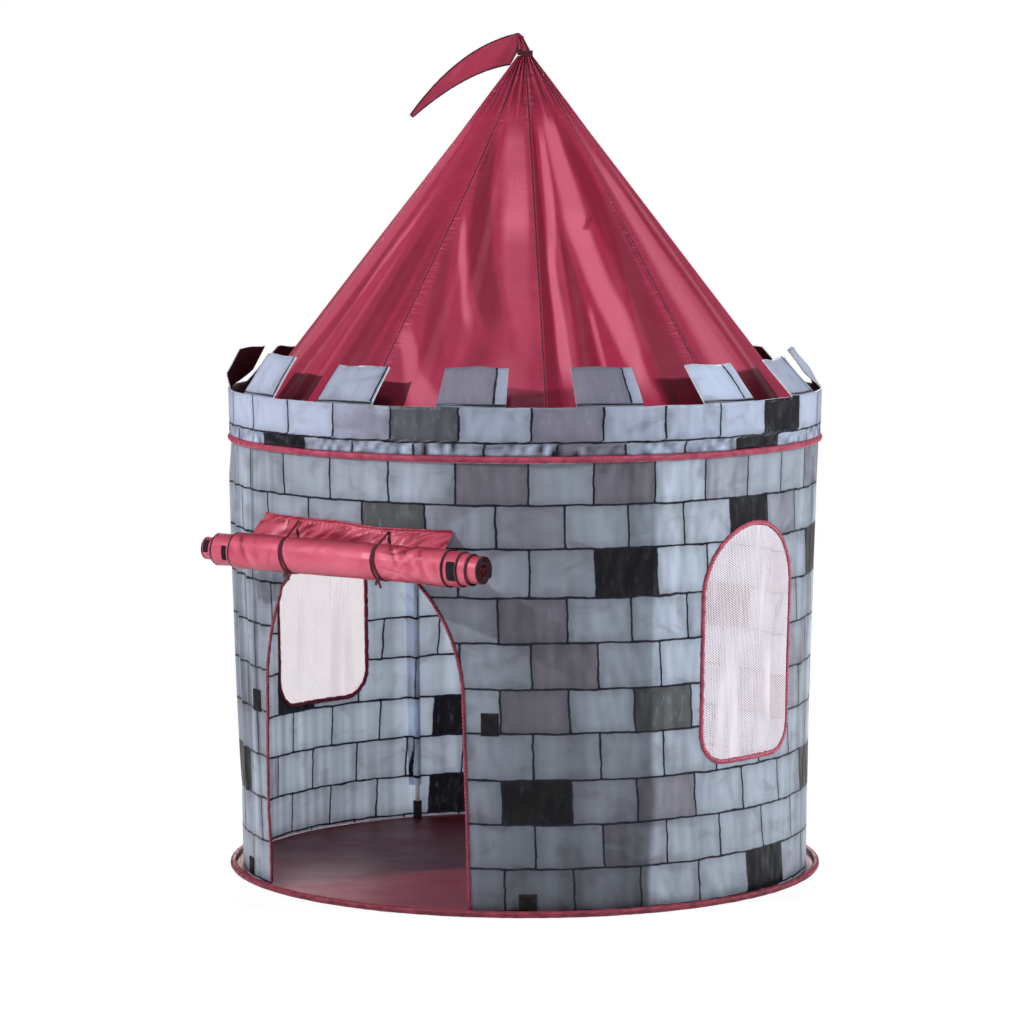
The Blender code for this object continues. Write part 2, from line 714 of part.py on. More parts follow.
def build_pennant(cloth):
    """A crescent of cloth in the upright plane through the axis; x is reach, y is height."""
    upper_start = Vector((PENNANT_TOP_REACH, PENNANT_TOP_HEIGHT))
    lower_start = Vector((PENNANT_FOOT_REACH, PENNANT_TOP_HEIGHT - PENNANT_HOIST))
    tip = Vector((PENNANT_TOP_REACH + PENNANT_LENGTH, PENNANT_TOP_HEIGHT - PENNANT_DROP))
    tip_top = tip + Vector((PENNANT_TIP_WIDTH / 2, PENNANT_TIP_WIDTH / 2))
    tip_foot = tip - Vector((PENNANT_TIP_WIDTH / 2, PENNANT_TIP_WIDTH / 2))
    span = Vector((PENNANT_LENGTH, -PENNANT_DROP))
    upper_control = upper_start + span * Vector(PENNANT_UPPER_SHARES)
    lower_control = lower_start + span * Vector(PENNANT_LOWER_SHARES)
    reach_axis = outward(PENNANT_AZIMUTH)
    wave_axis = outward(PENNANT_AZIMUTH + 90.0)

    def place(column, row, side):
        share = column / PENNANT_STEPS
        upper = pennant_edge(upper_start, upper_control, tip_top, share)
        lower = pennant_edge(lower_start, lower_control, tip_foot, share)
        flat = lower.lerp(upper, row / PENNANT_ROW_COUNT)
        wave = PENNANT_WAVE * math.sin(2 * math.pi * share) * share
        point = reach_axis * flat.x + wave_axis * (wave + side * PENNANT_CLOTH / 2)
        return point + UP * flat.y

    cloth_solid("pennant", PENNANT_STEPS, PENNANT_ROW_COUNT, place, cloth)


# Poles and their fittings


def pole_lines(azimuth):
    """Foot, corner and head of a pole's middle line."""
    foot_radius = wall_radius(azimuth, WALL_FOOT_HEIGHT) - WALL_CLOTH / 2 - CUP_RADIUS - SOCKET_GAP
    foot = on_circle(azimuth, foot_radius, FLOOR_CLOTH + SOCKET_GAP)
    corner_radius = HOOP_RADIUS - ELBOW_HOOP_INSET
    inset = POLE_INSET / math.cos(ROOF_TILT)
    corner_height = EAVE_HEIGHT + (EAVE_RADIUS - inset - corner_radius) / ROOF_SLOPE
    corner = on_circle(azimuth, corner_radius, corner_height)
    head_height = HUB_FOOT_HEIGHT + HUB_BORE * math.cos(ROOF_TILT)
    head_radius = corner_radius - ROOF_SLOPE * (head_height - corner_height)
    head = on_circle(azimuth, head_radius, head_height)
    return foot, corner, head


def build_elbow(number, azimuth, foot, corner, head, plastic):
    side = on_circle(azimuth - 90.0, 1.0, 0.0)
    bend_in = (foot - corner).normalized()
    bend_out = (head - corner).normalized()
    lower = corner + bend_in * ELBOW_ARM
    upper = corner + bend_out * ELBOW_ARM
    bend_arm = ELBOW_ARM - ELBOW_BORE - SOCKET_GAP
    start = corner + bend_in * bend_arm
    end = corner + bend_out * bend_arm
    stations = [lower, start]
    for share in (0.25, 0.5, 0.75):
        stations.append(pennant_edge(start, corner, end, share))
    stations += [end, upper]
    bm = bmesh.new()
    rings = []
    for index, station in enumerate(stations):
        before = stations[max(index - 1, 0)]
        after = stations[min(index + 1, len(stations) - 1)]
        axis = (after - before).normalized()
        if index in (0, 1):
            axis = -bend_in
        if index in (len(stations) - 2, len(stations) - 1):
            axis = bend_out
        cross = axis.cross(side).normalized()
        ring = []
        for step in range(POLE_SIDES):
            angle = 2 * math.pi * step / POLE_SIDES
            spoke = side * math.cos(angle) + cross * math.sin(angle)
            ring.append(bm.verts.new(station + spoke * ELBOW_RADIUS))
        rings.append(ring)
    for here, there in zip(rings, rings[1:]):
        for step in range(POLE_SIDES):
            after = (step + 1) % POLE_SIDES
            bm.faces.new((here[step], here[after], there[after], there[step]))
    bm.faces.new(rings[0])
    bm.faces.new(rings[-1])
    elbow = add_object("pole_elbow_" + str(number), bm, plastic)
    for label, mouth, inner in (("low", lower, -bend_in), ("high", upper, -bend_out)):
        bore = rod_mesh(mouth - inner * ELBOW_RADIUS, mouth + inner * ELBOW_BORE, POLE_RADIUS + SOCKET_GAP,
                        POLE_SIDES, side)
        combine(elbow, add_cutter("elbow_bore_" + label + "_" + str(number), bore))


def build_channel(number, azimuth, foot, corner, cloth):
    """A cloth tunnel that holds the wall pole, sewn to the inside of the wall along two edges."""
    side = on_circle(azimuth + 90.0, 1.0, 0.0)
    out = outward(azimuth)
    inner_width = POLE_RADIUS + SOCKET_GAP
    outer_width = inner_width + CHANNEL_CLOTH
    drop = outer_width * math.tan(math.radians(STEP_DEGREES / 2)) + POLE_RIDGE / 2
    bm = bmesh.new()
    sections = []
    for height in (CHANNEL_FOOT_HEIGHT, CHANNEL_TOP_HEIGHT):
        share = (height - foot.z) / (corner.z - foot.z)
        middle = foot.lerp(corner, share)
        turn = math.degrees(outer_width / HOOP_RADIUS)
        wall_inside = wall_radius(azimuth + turn, height) - WALL_CLOTH / 2
        reach = wall_inside - math.hypot(middle.x, middle.y) - drop / 2 - SEAM_GAP
        outline = []
        for width, order in ((outer_width, 1), (inner_width, -1)):
            strip = [(width, reach)]
            for step in range(CHANNEL_FACETS + 1):
                angle = math.pi * step / CHANNEL_FACETS
                strip.append((width * math.cos(angle), -width * math.sin(angle)))
            strip.append((-width, reach))
            outline += strip[::order]
        sections.append([bm.verts.new(middle + side * across + out * depth) for across, depth in outline])
    count = len(sections[0])
    for index in range(count):
        after = (index + 1) % count
        bm.faces.new((sections[0][index], sections[0][after], sections[1][after], sections[1][index]))
    for section in sections:
        half = count // 2
        for index in range(half - 1):
            other = count - 1 - index
            bm.faces.new((section[index], section[index + 1], section[other - 1], section[other]))
    add_object("pole_channel_" + str(number), bm, cloth)


def build_poles(plastic, glass_rod, cloth):
    for number, azimuth in enumerate(POLE_AZIMUTHS, start=1):
        foot, corner, head = pole_lines(azimuth)
        side = on_circle(azimuth - 90.0, 1.0, 0.0)
        up_wall = (corner - foot).normalized()
        up_roof = (head - corner).normalized()

        cup_top = foot + up_wall * CUP_HEIGHT
        cup_body = rod_mesh(foot, cup_top, CUP_RADIUS, POLE_SIDES, side)
        cup = add_object("pole_foot_" + str(number), cup_body, plastic)
        bore = rod_mesh(foot + up_wall * CUP_FLOOR, cup_top + up_wall * CUP_FLOOR, POLE_RADIUS + SOCKET_GAP,
                        POLE_SIDES, side)
        combine(cup, add_cutter("foot_bore_" + str(number), bore))

        build_elbow(number, azimuth, foot, corner, head, plastic)
        socket_end = ELBOW_ARM - ELBOW_BORE + SEAM_GAP
        wall_start = foot + up_wall * (CUP_FLOOR + SEAM_GAP)
        wall_pole = rod_mesh(wall_start, corner - up_wall * socket_end, POLE_RADIUS, POLE_SIDES, side)
        add_object("wall_pole_" + str(number), wall_pole, glass_rod)
        roof_start = corner + up_roof * socket_end
        roof_pole = rod_mesh(roof_start, head - up_roof * SEAM_GAP, POLE_RADIUS, POLE_SIDES, side)
        add_object("roof_pole_" + str(number), roof_pole, glass_rod)
        build_channel(number, azimuth, foot, corner, cloth)


def build_hub(plastic):
    """A moulded cone with a blind socket for each roof pole."""
    lines = [pole_lines(azimuth) for azimuth in POLE_AZIMUTHS]
    head = lines[0][2]
    pole_radius_at_foot = math.hypot(head.x, head.y) + ROOF_SLOPE * (head.z - HUB_FOOT_HEIGHT)
    foot_radius = pole_radius_at_foot + (POLE_RADIUS + HUB_WALL) / math.cos(ROOF_TILT)
    top_radius = foot_radius - ROOF_SLOPE * HUB_HEIGHT
    profile = ((foot_radius, HUB_FOOT_HEIGHT), (top_radius, HUB_FOOT_HEIGHT + HUB_HEIGHT))
    hub = turned_solid("apex_hub", profile, HUB_SIDES, upright, plastic)
    for number, (azimuth, (_, corner, head)) in enumerate(zip(POLE_AZIMUTHS, lines), start=1):
        up_roof = (head - corner).normalized()
        side = on_circle(azimuth - 90.0, 1.0, 0.0)
        start = head - up_roof * (HUB_BORE + 3 * POLE_RADIUS)
        bore = rod_mesh(start, head, POLE_RADIUS + SOCKET_GAP, POLE_SIDES, side)
        combine(hub, add_cutter("hub_bore_" + str(number), bore))


# Rolled-up flap


def roll_centre():
    back = wall_outside(0.0, ROLL_HEIGHT) + ROLL_WALL_GAP
    return Vector((0.0, -(back + ROLL_RADIUS), ROLL_HEIGHT))


def header_line(arc_share, drop_share):
    """A point of the header's middle: it leaves the curved wall and rests on the straight roll."""
    azimuth = HEADER_HALF_DEGREES * arc_share
    lift = SEAM_GAP + FLAP_CLOTH / 2
    top = on_circle(azimuth, wall_outside(azimuth, HEADER_TOP_HEIGHT) + lift, HEADER_TOP_HEIGHT)
    centre = roll_centre()
    rest = math.radians(HEADER_REST_DEGREES)
    reach = ROLL_RADIUS + SEAM_GAP + FLAP_CLOTH / 2
    foot = Vector((top.x, centre.y + reach * math.cos(rest), centre.z + reach * math.sin(rest)))
    return top.lerp(foot, drop_share)


def build_header(cloth):
    slant = (header_line(0.0, 1.0) - header_line(0.0, 0.0)).normalized()
    normal = Vector((0.0, slant.z, -slant.y)).normalized()

    def place(column, row, side):
        arc_share = 2 * column / HEADER_STEPS - 1
        return header_line(arc_share, row / HEADER_ROW_COUNT) + normal * (side * FLAP_CLOTH / 2)

    cloth_solid("flap_header", HEADER_STEPS, HEADER_ROW_COUNT, place, cloth)


def roll_turn_radius(turn):
    return ROLL_RADIUS - FLAP_CLOTH / 2 - ROLL_PITCH * turn


def build_roll(cloth):
    """The flap wound from its foot: a spiral whose inner turns are longer than its outer ones."""
    centre = roll_centre()
    stations = ROLL_TURNS * ROLL_TURN_STEPS

    def place(column, row, side):
        turn = column / ROLL_TURN_STEPS
        angle = math.radians(HEADER_REST_DEGREES) + 2 * math.pi * turn
        radius = roll_turn_radius(turn) + side * FLAP_CLOTH / 2
        core = turn > ROLL_STEP_TURN
        half = ROLL_CORE_HALF_LENGTH if core else ROLL_HALF_LENGTH
        shift = ROLL_CORE_SHIFT if core else ROLL_SHIFT
        x = shift + (2 * row - 1) * half
        return centre + Vector((x, radius * math.cos(angle), radius * math.sin(angle)))

    cloth_solid("flap_roll", stations, 1, place, cloth)


def build_flap_pads(pad_cloth):
    """A pad on each end of the longer inner turns, facing away from the wall."""
    centre = roll_centre()
    for name, end in (("left", -1), ("right", 1)):
        outer_end = ROLL_CORE_SHIFT + end * (ROLL_CORE_HALF_LENGTH - FLAP_PAD_INSET)

        def place(column, row, side, end=end, outer_end=outer_end):
            first, last = FLAP_PAD_DEGREES
            angle = math.radians(first + (last - first) * column / FLAP_PAD_STEPS)
            turn = (angle - math.radians(HEADER_REST_DEGREES)) / (2 * math.pi) + math.ceil(ROLL_STEP_TURN)
            seat = roll_turn_radius(turn) + FLAP_CLOTH / 2 + SEAM_GAP
            radius = seat + PAD_CLOTH * (side + 1) / 2
            x = outer_end - end * FLAP_PAD_WIDTH * row
            return centre + Vector((x, radius * math.cos(angle), radius * math.sin(angle)))

        cloth_solid("flap_pad_" + name, FLAP_PAD_STEPS, 1, place, pad_cloth)


def build_loop_ties(cloth):
    """A tape sewn in with the header: down in front of the roll, round it and up behind it."""
    centre = roll_centre()
    reach = ROLL_RADIUS + LOOP_TIE_GAP + LOOP_TIE_CLOTH / 2
    for name, offset in (("left", -LOOP_TIE_OFFSET), ("right", LOOP_TIE_OFFSET)):
        arc_share = math.degrees(math.asin(offset / HOOP_RADIUS)) / HEADER_HALF_DEGREES
        step_out = FLAP_CLOTH / 2 + 2 * LOOP_TIE_GAP + LOOP_TIE_CLOTH / 2
        slant = (header_line(arc_share, 1.0) - header_line(arc_share, 0.0)).normalized()
        lift = Vector((0.0, slant.z, -slant.y)).normalized() * step_out
        front = header_line(arc_share, 0.0) + lift
        middle = header_line(arc_share, 0.5) + lift
        path = [front, middle]
        for step in range(LOOP_STEPS + 1):
            sweep = (LOOP_LAST_DEGREES - LOOP_FIRST_DEGREES) * step / LOOP_STEPS
            angle = math.radians(LOOP_FIRST_DEGREES + sweep)
            path.append(centre + Vector((0.0, reach * math.cos(angle), reach * math.sin(angle))))
        path = [Vector((offset, point.y, point.z)) for point in path]

        def place(column, row, side, path=path):
            before = path[max(column - 1, 0)]
            after = path[min(column + 1, len(path) - 1)]
            along = (after - before).normalized()
            normal = Vector((0.0, -along.z, along.y))
            across = Vector((1.0, 0.0, 0.0)) * (LOOP_TIE_WIDTH * (2 * row - 1) / 2)
            return path[column] + across + normal * (side * LOOP_TIE_CLOTH / 2)

        cloth_solid("flap_tie_" + name, len(path) - 1, 1, place, cloth)


def main():
    clear_scene()
    roof_cloth = make_material("burgundy_nylon", BURGUNDY, 0.45)
    print_cloth = make_material("printed_nylon", STONE, 0.6)
    steel = make_material("spring_steel", STEEL, 0.35, 1.0)
    plastic = make_material("black_plastic", BLACK, 0.5)
    glass_rod = make_material("fibreglass", FIBREGLASS, 0.4)
    dark_cloth = make_material("black_tape", BLACK, 0.8)
    net_cloth = make_material("white_net", NET_WHITE, 0.8)

    build_floor(roof_cloth)
    build_hoops(roof_cloth, steel)
    build_wall(print_cloth, roof_cloth, net_cloth)
    build_wall_pads(dark_cloth)
    build_band(print_cloth)
    build_roof(roof_cloth)
    build_tip(roof_cloth, dark_cloth)
    build_pennant(roof_cloth)
    build_poles(plastic, glass_rod, print_cloth)
    build_hub(plastic)
    build_header(roof_cloth)
    build_roll(roof_cloth)
    build_flap_pads(dark_cloth)
    build_loop_ties(dark_cloth)


main()
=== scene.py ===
"""Looks of the round castle play tent: printed wall, satin roof, battlements, rolled flap.

Metres, +Z up. The axis of the tent is x = y = 0 and the door faces -Y. An azimuth is counted
in degrees from the door towards +X.
"""

import math

import bmesh
import bpy
from mathutils import Matrix, Vector, noise
from mathutils.geometry import delaunay_2d_cdt


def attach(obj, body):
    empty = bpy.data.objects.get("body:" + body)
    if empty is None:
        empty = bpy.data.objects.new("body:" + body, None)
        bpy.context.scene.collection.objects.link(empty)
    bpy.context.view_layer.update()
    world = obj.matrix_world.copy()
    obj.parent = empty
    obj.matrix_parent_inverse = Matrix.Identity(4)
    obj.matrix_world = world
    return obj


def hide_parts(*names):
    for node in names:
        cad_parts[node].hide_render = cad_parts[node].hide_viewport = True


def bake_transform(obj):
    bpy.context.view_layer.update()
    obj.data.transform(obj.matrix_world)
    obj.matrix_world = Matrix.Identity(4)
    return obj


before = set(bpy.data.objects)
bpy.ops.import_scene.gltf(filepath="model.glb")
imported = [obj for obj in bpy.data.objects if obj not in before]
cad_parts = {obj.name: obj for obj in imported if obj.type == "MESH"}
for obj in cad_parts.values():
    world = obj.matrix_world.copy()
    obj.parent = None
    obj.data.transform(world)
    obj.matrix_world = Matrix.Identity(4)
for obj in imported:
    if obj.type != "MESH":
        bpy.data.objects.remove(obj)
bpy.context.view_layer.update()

PRINT_MAP = "print"
# Mark of painted light and shade that cloth pieces carry at their points: above 0 painted light, below 0
# painted shade
PAINTED_LIGHT_MARK = "painted_light"
UP = Vector((0.0, 0.0, 1.0))

# Hoops, sleeves and wall, as in the frame
HOOP_RADIUS = 0.497
HOOP_HEIGHT = 0.7325
SLEEVE_RADIUS = 0.0055
SLEEVE_SLIT_DEGREES = 50.0
SEAM_GAP = 0.0003
BASE_HOOP_HEIGHT = SLEEVE_RADIUS + SEAM_GAP
WALL_CLOTH = 0.0015
WALL_FOOT_RADIUS = 0.480
WALL_TOP_RADIUS = 0.4965
WALL_FOOT_HEIGHT = 0.0018
WALL_TOP_HEIGHT = HOOP_HEIGHT - SLEEVE_RADIUS - SEAM_GAP
WALL_SAG = 0.003
POLE_RIDGE = 0.0015
POLE_RIDGE_DEGREES = 4.0
POLE_AZIMUTHS = (60.0, 150.0, 240.0, 330.0)
FLOOR_RADIUS = 0.4937
FLOOR_HEIGHT = 0.0011
FLOOR_STEPS = 180
FLOOR_RINGS = 40
FLOOR_HOLE_SHARE = 0.02
FLOOR_CALM_RINGS = 6.0
FLOOR_RIPPLE = 0.0013
SLEEVE_STEPS = 540
SLEEVE_SIDES = 12
SLEEVE_PUCKER_SHARE = 0.10

# Creases of the wall cloth: a crisp one on each pole and soft waves between
CREASE_LIFT = 0.0022
CREASE_DEGREES = 3.2
WAVE_LIFT = 0.0016
WALL_STEP_DEGREES = 0.5
WALL_STEP_HEIGHT = 0.006
WALL_HOLD = 12.0
DOOR_PANEL_AREA = 0.36
WINDOW_PANEL_AREA = 0.48
PANEL_DEGREES = 90.0
DOOR_PANEL_START = -30.0
BACK_PANEL_AZIMUTH = 195.0
FOLD_REACH = 3.0
FOLD_FADE_POWER = 0.6
# Painted streaks of highlight and shade run on past both ends by a share of their length, and fade there
STREAK_RUN_ON = 0.15
STREAK_FADE = 0.25
STREAK_REACH = 1.6
STREAK_POWER = 6
# Each fold: azimuth at its foot and at its top, half width in degrees, lift, first and last share
WALL_FOLDS = (
    (-17.0, -18.2, 0.8, 0.0040, 0.35, 1.12),
    (-24.8, -25.4, 1.0, 0.0060, 0.10, 1.12),
    (-31.5, -32.6, 0.9, 0.0050, 0.45, 1.12),
    (-38.4, -39.5, 1.2, 0.0065, 0.05, 1.12),
    (-47.0, -48.0, 1.4, 0.0065, 0.20, 1.12),
    (-56.0, -55.0, 1.6, 0.0050, 0.30, 1.12),
    (-118.0, -118.2, 1.2, 0.0030, 0.00, 1.10),
    (157.5, 157.5, 1.3, 0.0030, 0.00, 1.10),
    (104.0, 107.0, 2.2, 0.0030, 0.35, 1.10),
    (33.0, 30.0, 4.0, 0.0020, 0.00, 0.80),
    (48.0, 52.0, 3.5, 0.0016, 0.15, 1.00),
    (176.0, 179.0, 3.0, 0.0030, 0.10, 1.05),
    (203.0, 200.0, 2.6, 0.0028, 0.20, 1.10),
    (224.0, 227.0, 3.2, 0.0030, 0.00, 0.90),
)

# Broad places of painted light and painted shade on the wall: azimuth, height, half width, half height,
# strength
WALL_PAINTED_PATCHES = (
    (-36.0, 0.31, 14.0, 0.13, -0.42),
    (-36.0, 0.66, 14.0, 0.09, 0.08),
    (8.0, 0.68, 11.0, 0.08, 0.22),
    (72.0, 0.62, 10.0, 0.14, 0.20),
    (24.0, 0.48, 8.0, 0.18, 0.16),
    (-125.0, 0.30, 28.0, 0.30, 0.16),
    (40.0, 0.05, 16.0, 0.12, -0.12),
    (108.0, 0.40, 9.0, 0.50, -0.28),
    (50.0, 0.42, 7.0, 0.16, 0.12),
    (70.0, 0.38, 9.0, 0.16, 0.13),
)
# Painted highlight and shade along the wall's pleats: azimuth and share of the height at both ends, half
# widths, strength
WALL_PAINTED_STREAKS = (
    ((-39.7, 0.42), (-39.7, 1.00), 0.9, 0.9, -0.40),
    ((-34.6, 0.50), (-34.2, 1.00), 2.6, 2.6, 0.20),
    ((-28.6, 0.10), (-28.8, 1.00), 0.8, 0.8, -0.35),
    ((-31.0, 0.10), (-31.0, 0.60), 1.2, 1.0, 0.25),
    ((-36.0, 0.10), (-35.5, 0.50), 0.7, 0.7, -0.30),
    ((66.0, 0.60), (63.5, 0.98), 1.2, 1.4, 0.18),
    ((103.5, 0.10), (103.5, 0.98), 1.2, 1.2, 0.20),
    ((111.0, 0.10), (111.0, 0.98), 1.6, 1.6, -0.25),
    ((117.0, 0.10), (117.0, 0.98), 2.0, 2.0, 0.25),
)

# Smooth waves round the tent: scale round it, scale up it, shift, strength
WALL_WAVES = ((5.0, 1.6, 0.0, 1.0), (14.0, 7.0, 3.0, 0.5))
# Painted light and shade: soft upright bands over the wall, and stripes over its fluted folds left of the
# door
WALL_PAINTED_BANDS = ((11.0, 1.3, 0.0, 0.14), (34.0, 2.0, 0.0, 0.10))
WALL_PAINTED_FLUTES = ((38.0, 1.2, 0.0, 0.40),)
FLUTED_DEGREES = (-24.0, -12.0)
STRIP_PUCKERS = ((40.0, 2.0, 0.0, 1.0),)
# Painted shade of the puckers on the strip under the band
STRIP_PAINTED_PUCKER_SHADES = ((54.0, 60.0, 0.0, 1.0),)
BAND_SWELLS = ((9.0, 1.5, 5.0, 1.0),)
BAND_CRUMPLES = ((22.0, 5.0, 9.0, 1.0),)
ROOF_WAVES = ((6.5, 1.3, 0.0, 1.0), (17.0, 2.4, 7.0, 0.35))
# Bends the roof's painted streaks
ROOF_WARPS = ((9.0, 7.0, 0.0, 0.9),)

# Painted shade on the wall between the door and the first pole right of it, and painted light beyond that
# pole
SHADED_DEGREES = (15.0, 22.0)
SHADE = 0.14
FOOT_SHADE = 0.42
POLE_SHADE = 0.11
POLE_SHADE_DEGREES = 4.0
BEYOND_PAINTED_LIGHT = 0.12
BEYOND_DEGREES = (140.0, 150.0)
POLE_PAINTED_HIGHLIGHT = 0.16
POLE_PAINTED_HIGHLIGHT_DEGREES = (2.4, 2.0)

# Printed stones; the joints are pairs of azimuth and count of stones along the top and the foot
STONE_COUNT = 28
STONE_LENGTH = 0.1115
STONE_HEIGHT = 0.0726
ROW_HEIGHTS = (0.007, 0.0757, 0.1475, 0.219, 0.294, 0.365, 0.4395, 0.512, 0.590, 0.660, 0.7325)
TOP_JOINTS = ((-43.0, -4.0), (22.7, 1.0), (36.2, 2.0), (60.3, 4.0), (104.2, 8.0), (317.0, 24.0))
FOOT_JOINTS = ((-43.0, -4.1), (31.9, 1.55), (98.7, 6.55), (317.0, 23.9))
BAND_JOINTS = ((-27.3, -3.0), (10.3, 0.0), (50.0, 3.0), (86.5, 6.0), (332.7, 25.0))
TOP_JOINT_ROW = 9.0
EVEN_ROW_SHIFT = 0.55
JOINT_HALF_WIDTH = 0.0021
STRIP_ROW = 10
BAND_ROW = 11
MERLON_ROW = 12
# Stones of one dark colour: row and place in the row
BLACK_STONES = (
    (8, 5), (7, 3), (7, 8), (2, 1), (2, 7), (2, -5), (2, 16), (0, 16), (0, 5), (11, 6),
    (10, -3), (5, 12), (3, 20), (6, 17), (1, 11), (8, 14), (10, 5), (11, 16), (9, 10),
)
GREEN_STONES = ((8, -1), (4, 3), (11, 0), (7, 13), (3, 10))
GREY_STONES = (
    (9, 1), (9, 3), (11, 2), (10, 2), (6, 1), (2, 3), (4, 1), (5, 2), (9, 13), (3, 15),
    (7, 20), (12, 2), (12, 4),
)

# Doorway and windows
DOOR_HALF_WIDTH = 0.208
DOOR_FOOT_FLARE = 0.009
DOOR_SPRING_HEIGHT = 0.340
DOOR_ARCH_RISE = 0.250
DOOR_FOOT_CLEARANCE = 0.009
WINDOW_AZIMUTHS = (85.0, 265.0)
WINDOW_HALF_WIDTH = 0.118
WINDOW_FOOT_HEIGHT = 0.231
WINDOW_TOP_HEIGHT = 0.616
WINDOW_ARCH_RISE = 0.115
WINDOW_CORNER_RADIUS = 0.050
OUTLINE_STEP = 0.004
CUT_MARGIN = 0.0016
BINDING_HALF_WIDTH = 0.0040
DOOR_BINDING_HALF_WIDTH = 0.0029
BINDING_HALF_DEPTH = 0.0024
DOOR_BINDING_PUCKER = 0.35
WINDOW_BINDING_PUCKER = 0.40
DOOR_ARCH_STEPS = 48
WINDOW_ARCH_STEPS = 36
CORNER_STEPS = 12
NET_STEP = 0.006
NET_PULL_LIFT = 0.0020
NET_CREASE_LIFT = 0.0016
NET_SINK = 0.0010
# Creases of the net: place across it, lean, half width and sign, as shares of its half width
NET_CREASES = ((0.12, 0.1, 0.05, 1.0), (-0.42, -0.1, 0.06, -1.0))

# Battlement band
BAND_FOOT_RADIUS = 0.4985
BAND_TOP_RADIUS = 0.4995
BAND_BASE_HEIGHT = 0.7383
BAND_RIM_HEIGHT = 0.8148
STRIP_TOP_HEIGHT = 0.7560
BAND_CLOTH = 0.0026
MERLON_COUNT = 14
MERLON_LENGTH = 0.079
MERLON_TAPER = 0.09
MERLON_LEAN_DEGREES = 43.0
# Merlons that stand otherwise, by their number from the door: lean and twist in degrees
MERLON_POSES = {12: (29.0, -24.0), 13: (33.0, 0.0), 5: (36.0, -10.0)}
# Painted light and painted shade on the band and on the merlons: azimuth, half width, strength
BAND_PAINTED_PATCHES = ((-32.0, 20.0, 0.17), (28.0, 18.0, -0.14), (84.0, 22.0, 0.15))
BAND_PAINTED_LIGHT_MIDDLE = 45.0
# Painted shade on the strip between the top hoop and the band
STRIP_PAINTED_SHADE = -0.28
MERLON_PAINTED_PATCHES = ((25.7, 7.0, -0.02), (51.4, 7.0, -0.24), (77.1, 7.0, 0.12))
MERLON_COLUMNS = 12
MERLON_ROWS = 12
STRIP_ROWS = 4
BAND_ROWS = 9
# Where the joint crosses a merlon: the middle one and the two left of it, then all others
MERLON_JOINT_SHARES = (0.96, 0.82)
STRIP_PUCKER = 0.0022
STRIP_SINK = 0.0010
BAND_SWELL = 0.0020
BAND_CRUMPLE = 0.0008
BAND_RISE = 0.0012
MERLON_NOD_DEGREES = 4.0
MERLON_CURL_DEGREES = 5.0
# How fast a twisted merlon turns: its whole twist is reached after 1 / rate of its length
MERLON_TWIST_RATE = 2.5
MERLON_PUFF = 0.0018
MERLON_WRINKLE = 0.0022
# Where each part of the band starts in its row of stones, and how much of the row it shows
STRIP_PRINT = (0.45, 0.5)
BAND_PRINT = (-0.05, 0.96)
MERLON_PRINT = (-0.01, 0.93)
STRIP_PRINT_SHIFT = 0.2

# Roof
EAVE_RADIUS = 0.4943
EAVE_HEIGHT = 0.7371
ROOF_NECK_RADIUS = 0.0107
ROOF_NECK_HEIGHT = 1.371
GORE_COUNT = 9
GORE_DEGREES = 360.0 / GORE_COUNT
GORE_SAG = 0.006
GORE_SLANT = math.hypot(EAVE_RADIUS - ROOF_NECK_RADIUS, ROOF_NECK_HEIGHT - EAVE_HEIGHT)
GORE_EAVE_WIDTH = math.radians(GORE_DEGREES) * EAVE_RADIUS
GORE_TAPER = math.radians(GORE_DEGREES) * (ROOF_NECK_RADIUS - EAVE_RADIUS) / GORE_SLANT
GORE_COLUMNS = 64
GORE_ROWS = 110
# Each fold: azimuth at the eave and at the tip, half width in degrees, lift, first and last share
ROOF_FOLDS = (
    (-52.0, -46.0, 2.6, 0.0080, -0.10, 0.95),
    (-38.0, -36.0, 2.0, 0.0060, -0.10, 0.90),
    (-24.0, -26.0, 1.8, 0.0080, -0.10, 0.98),
    (-12.5, -9.0, 2.4, 0.0070, -0.10, 0.80),
    (10.2, 11.5, 1.7, 0.0085, -0.20, 0.52),
    (17.5, 18.5, 2.0, 0.0080, 0.12, 0.98),
    (34.0, 22.0, 4.4, 0.0090, -0.10, 1.00),
    (47.5, 52.0, 1.8, 0.0095, -0.10, 0.92),
    (53.0, 91.0, 2.5, 0.0105, -0.10, 1.00),
    (66.0, 72.0, 2.2, 0.0090, -0.20, 0.52),
    (86.5, 90.0, 1.7, 0.0070, -0.10, 0.95),
    (100.0, 108.0, 3.6, 0.0095, -0.10, 0.95),
    (117.0, 114.0, 3.0, 0.0070, -0.10, 0.90),
    (133.0, 138.0, 3.0, 0.0080, -0.10, 0.95),
    (150.0, 147.0, 2.4, 0.0090, 0.05, 0.90),
    (174.0, 170.0, 3.4, 0.0080, -0.10, 0.95),
    (188.0, 192.0, 2.4, 0.0090, 0.05, 0.80),
    (214.0, 210.0, 2.8, 0.0080, -0.10, 0.95),
    (231.0, 233.0, 2.2, 0.0090, -0.10, 0.70),
    (252.0, 256.0, 3.0, 0.0080, 0.05, 0.95),
    (271.0, 268.0, 2.6, 0.0090, -0.10, 0.90),
    (290.0, 292.0, 3.0, 0.0080, -0.10, 0.95),
)
ROOF_WAVE = 0.0028
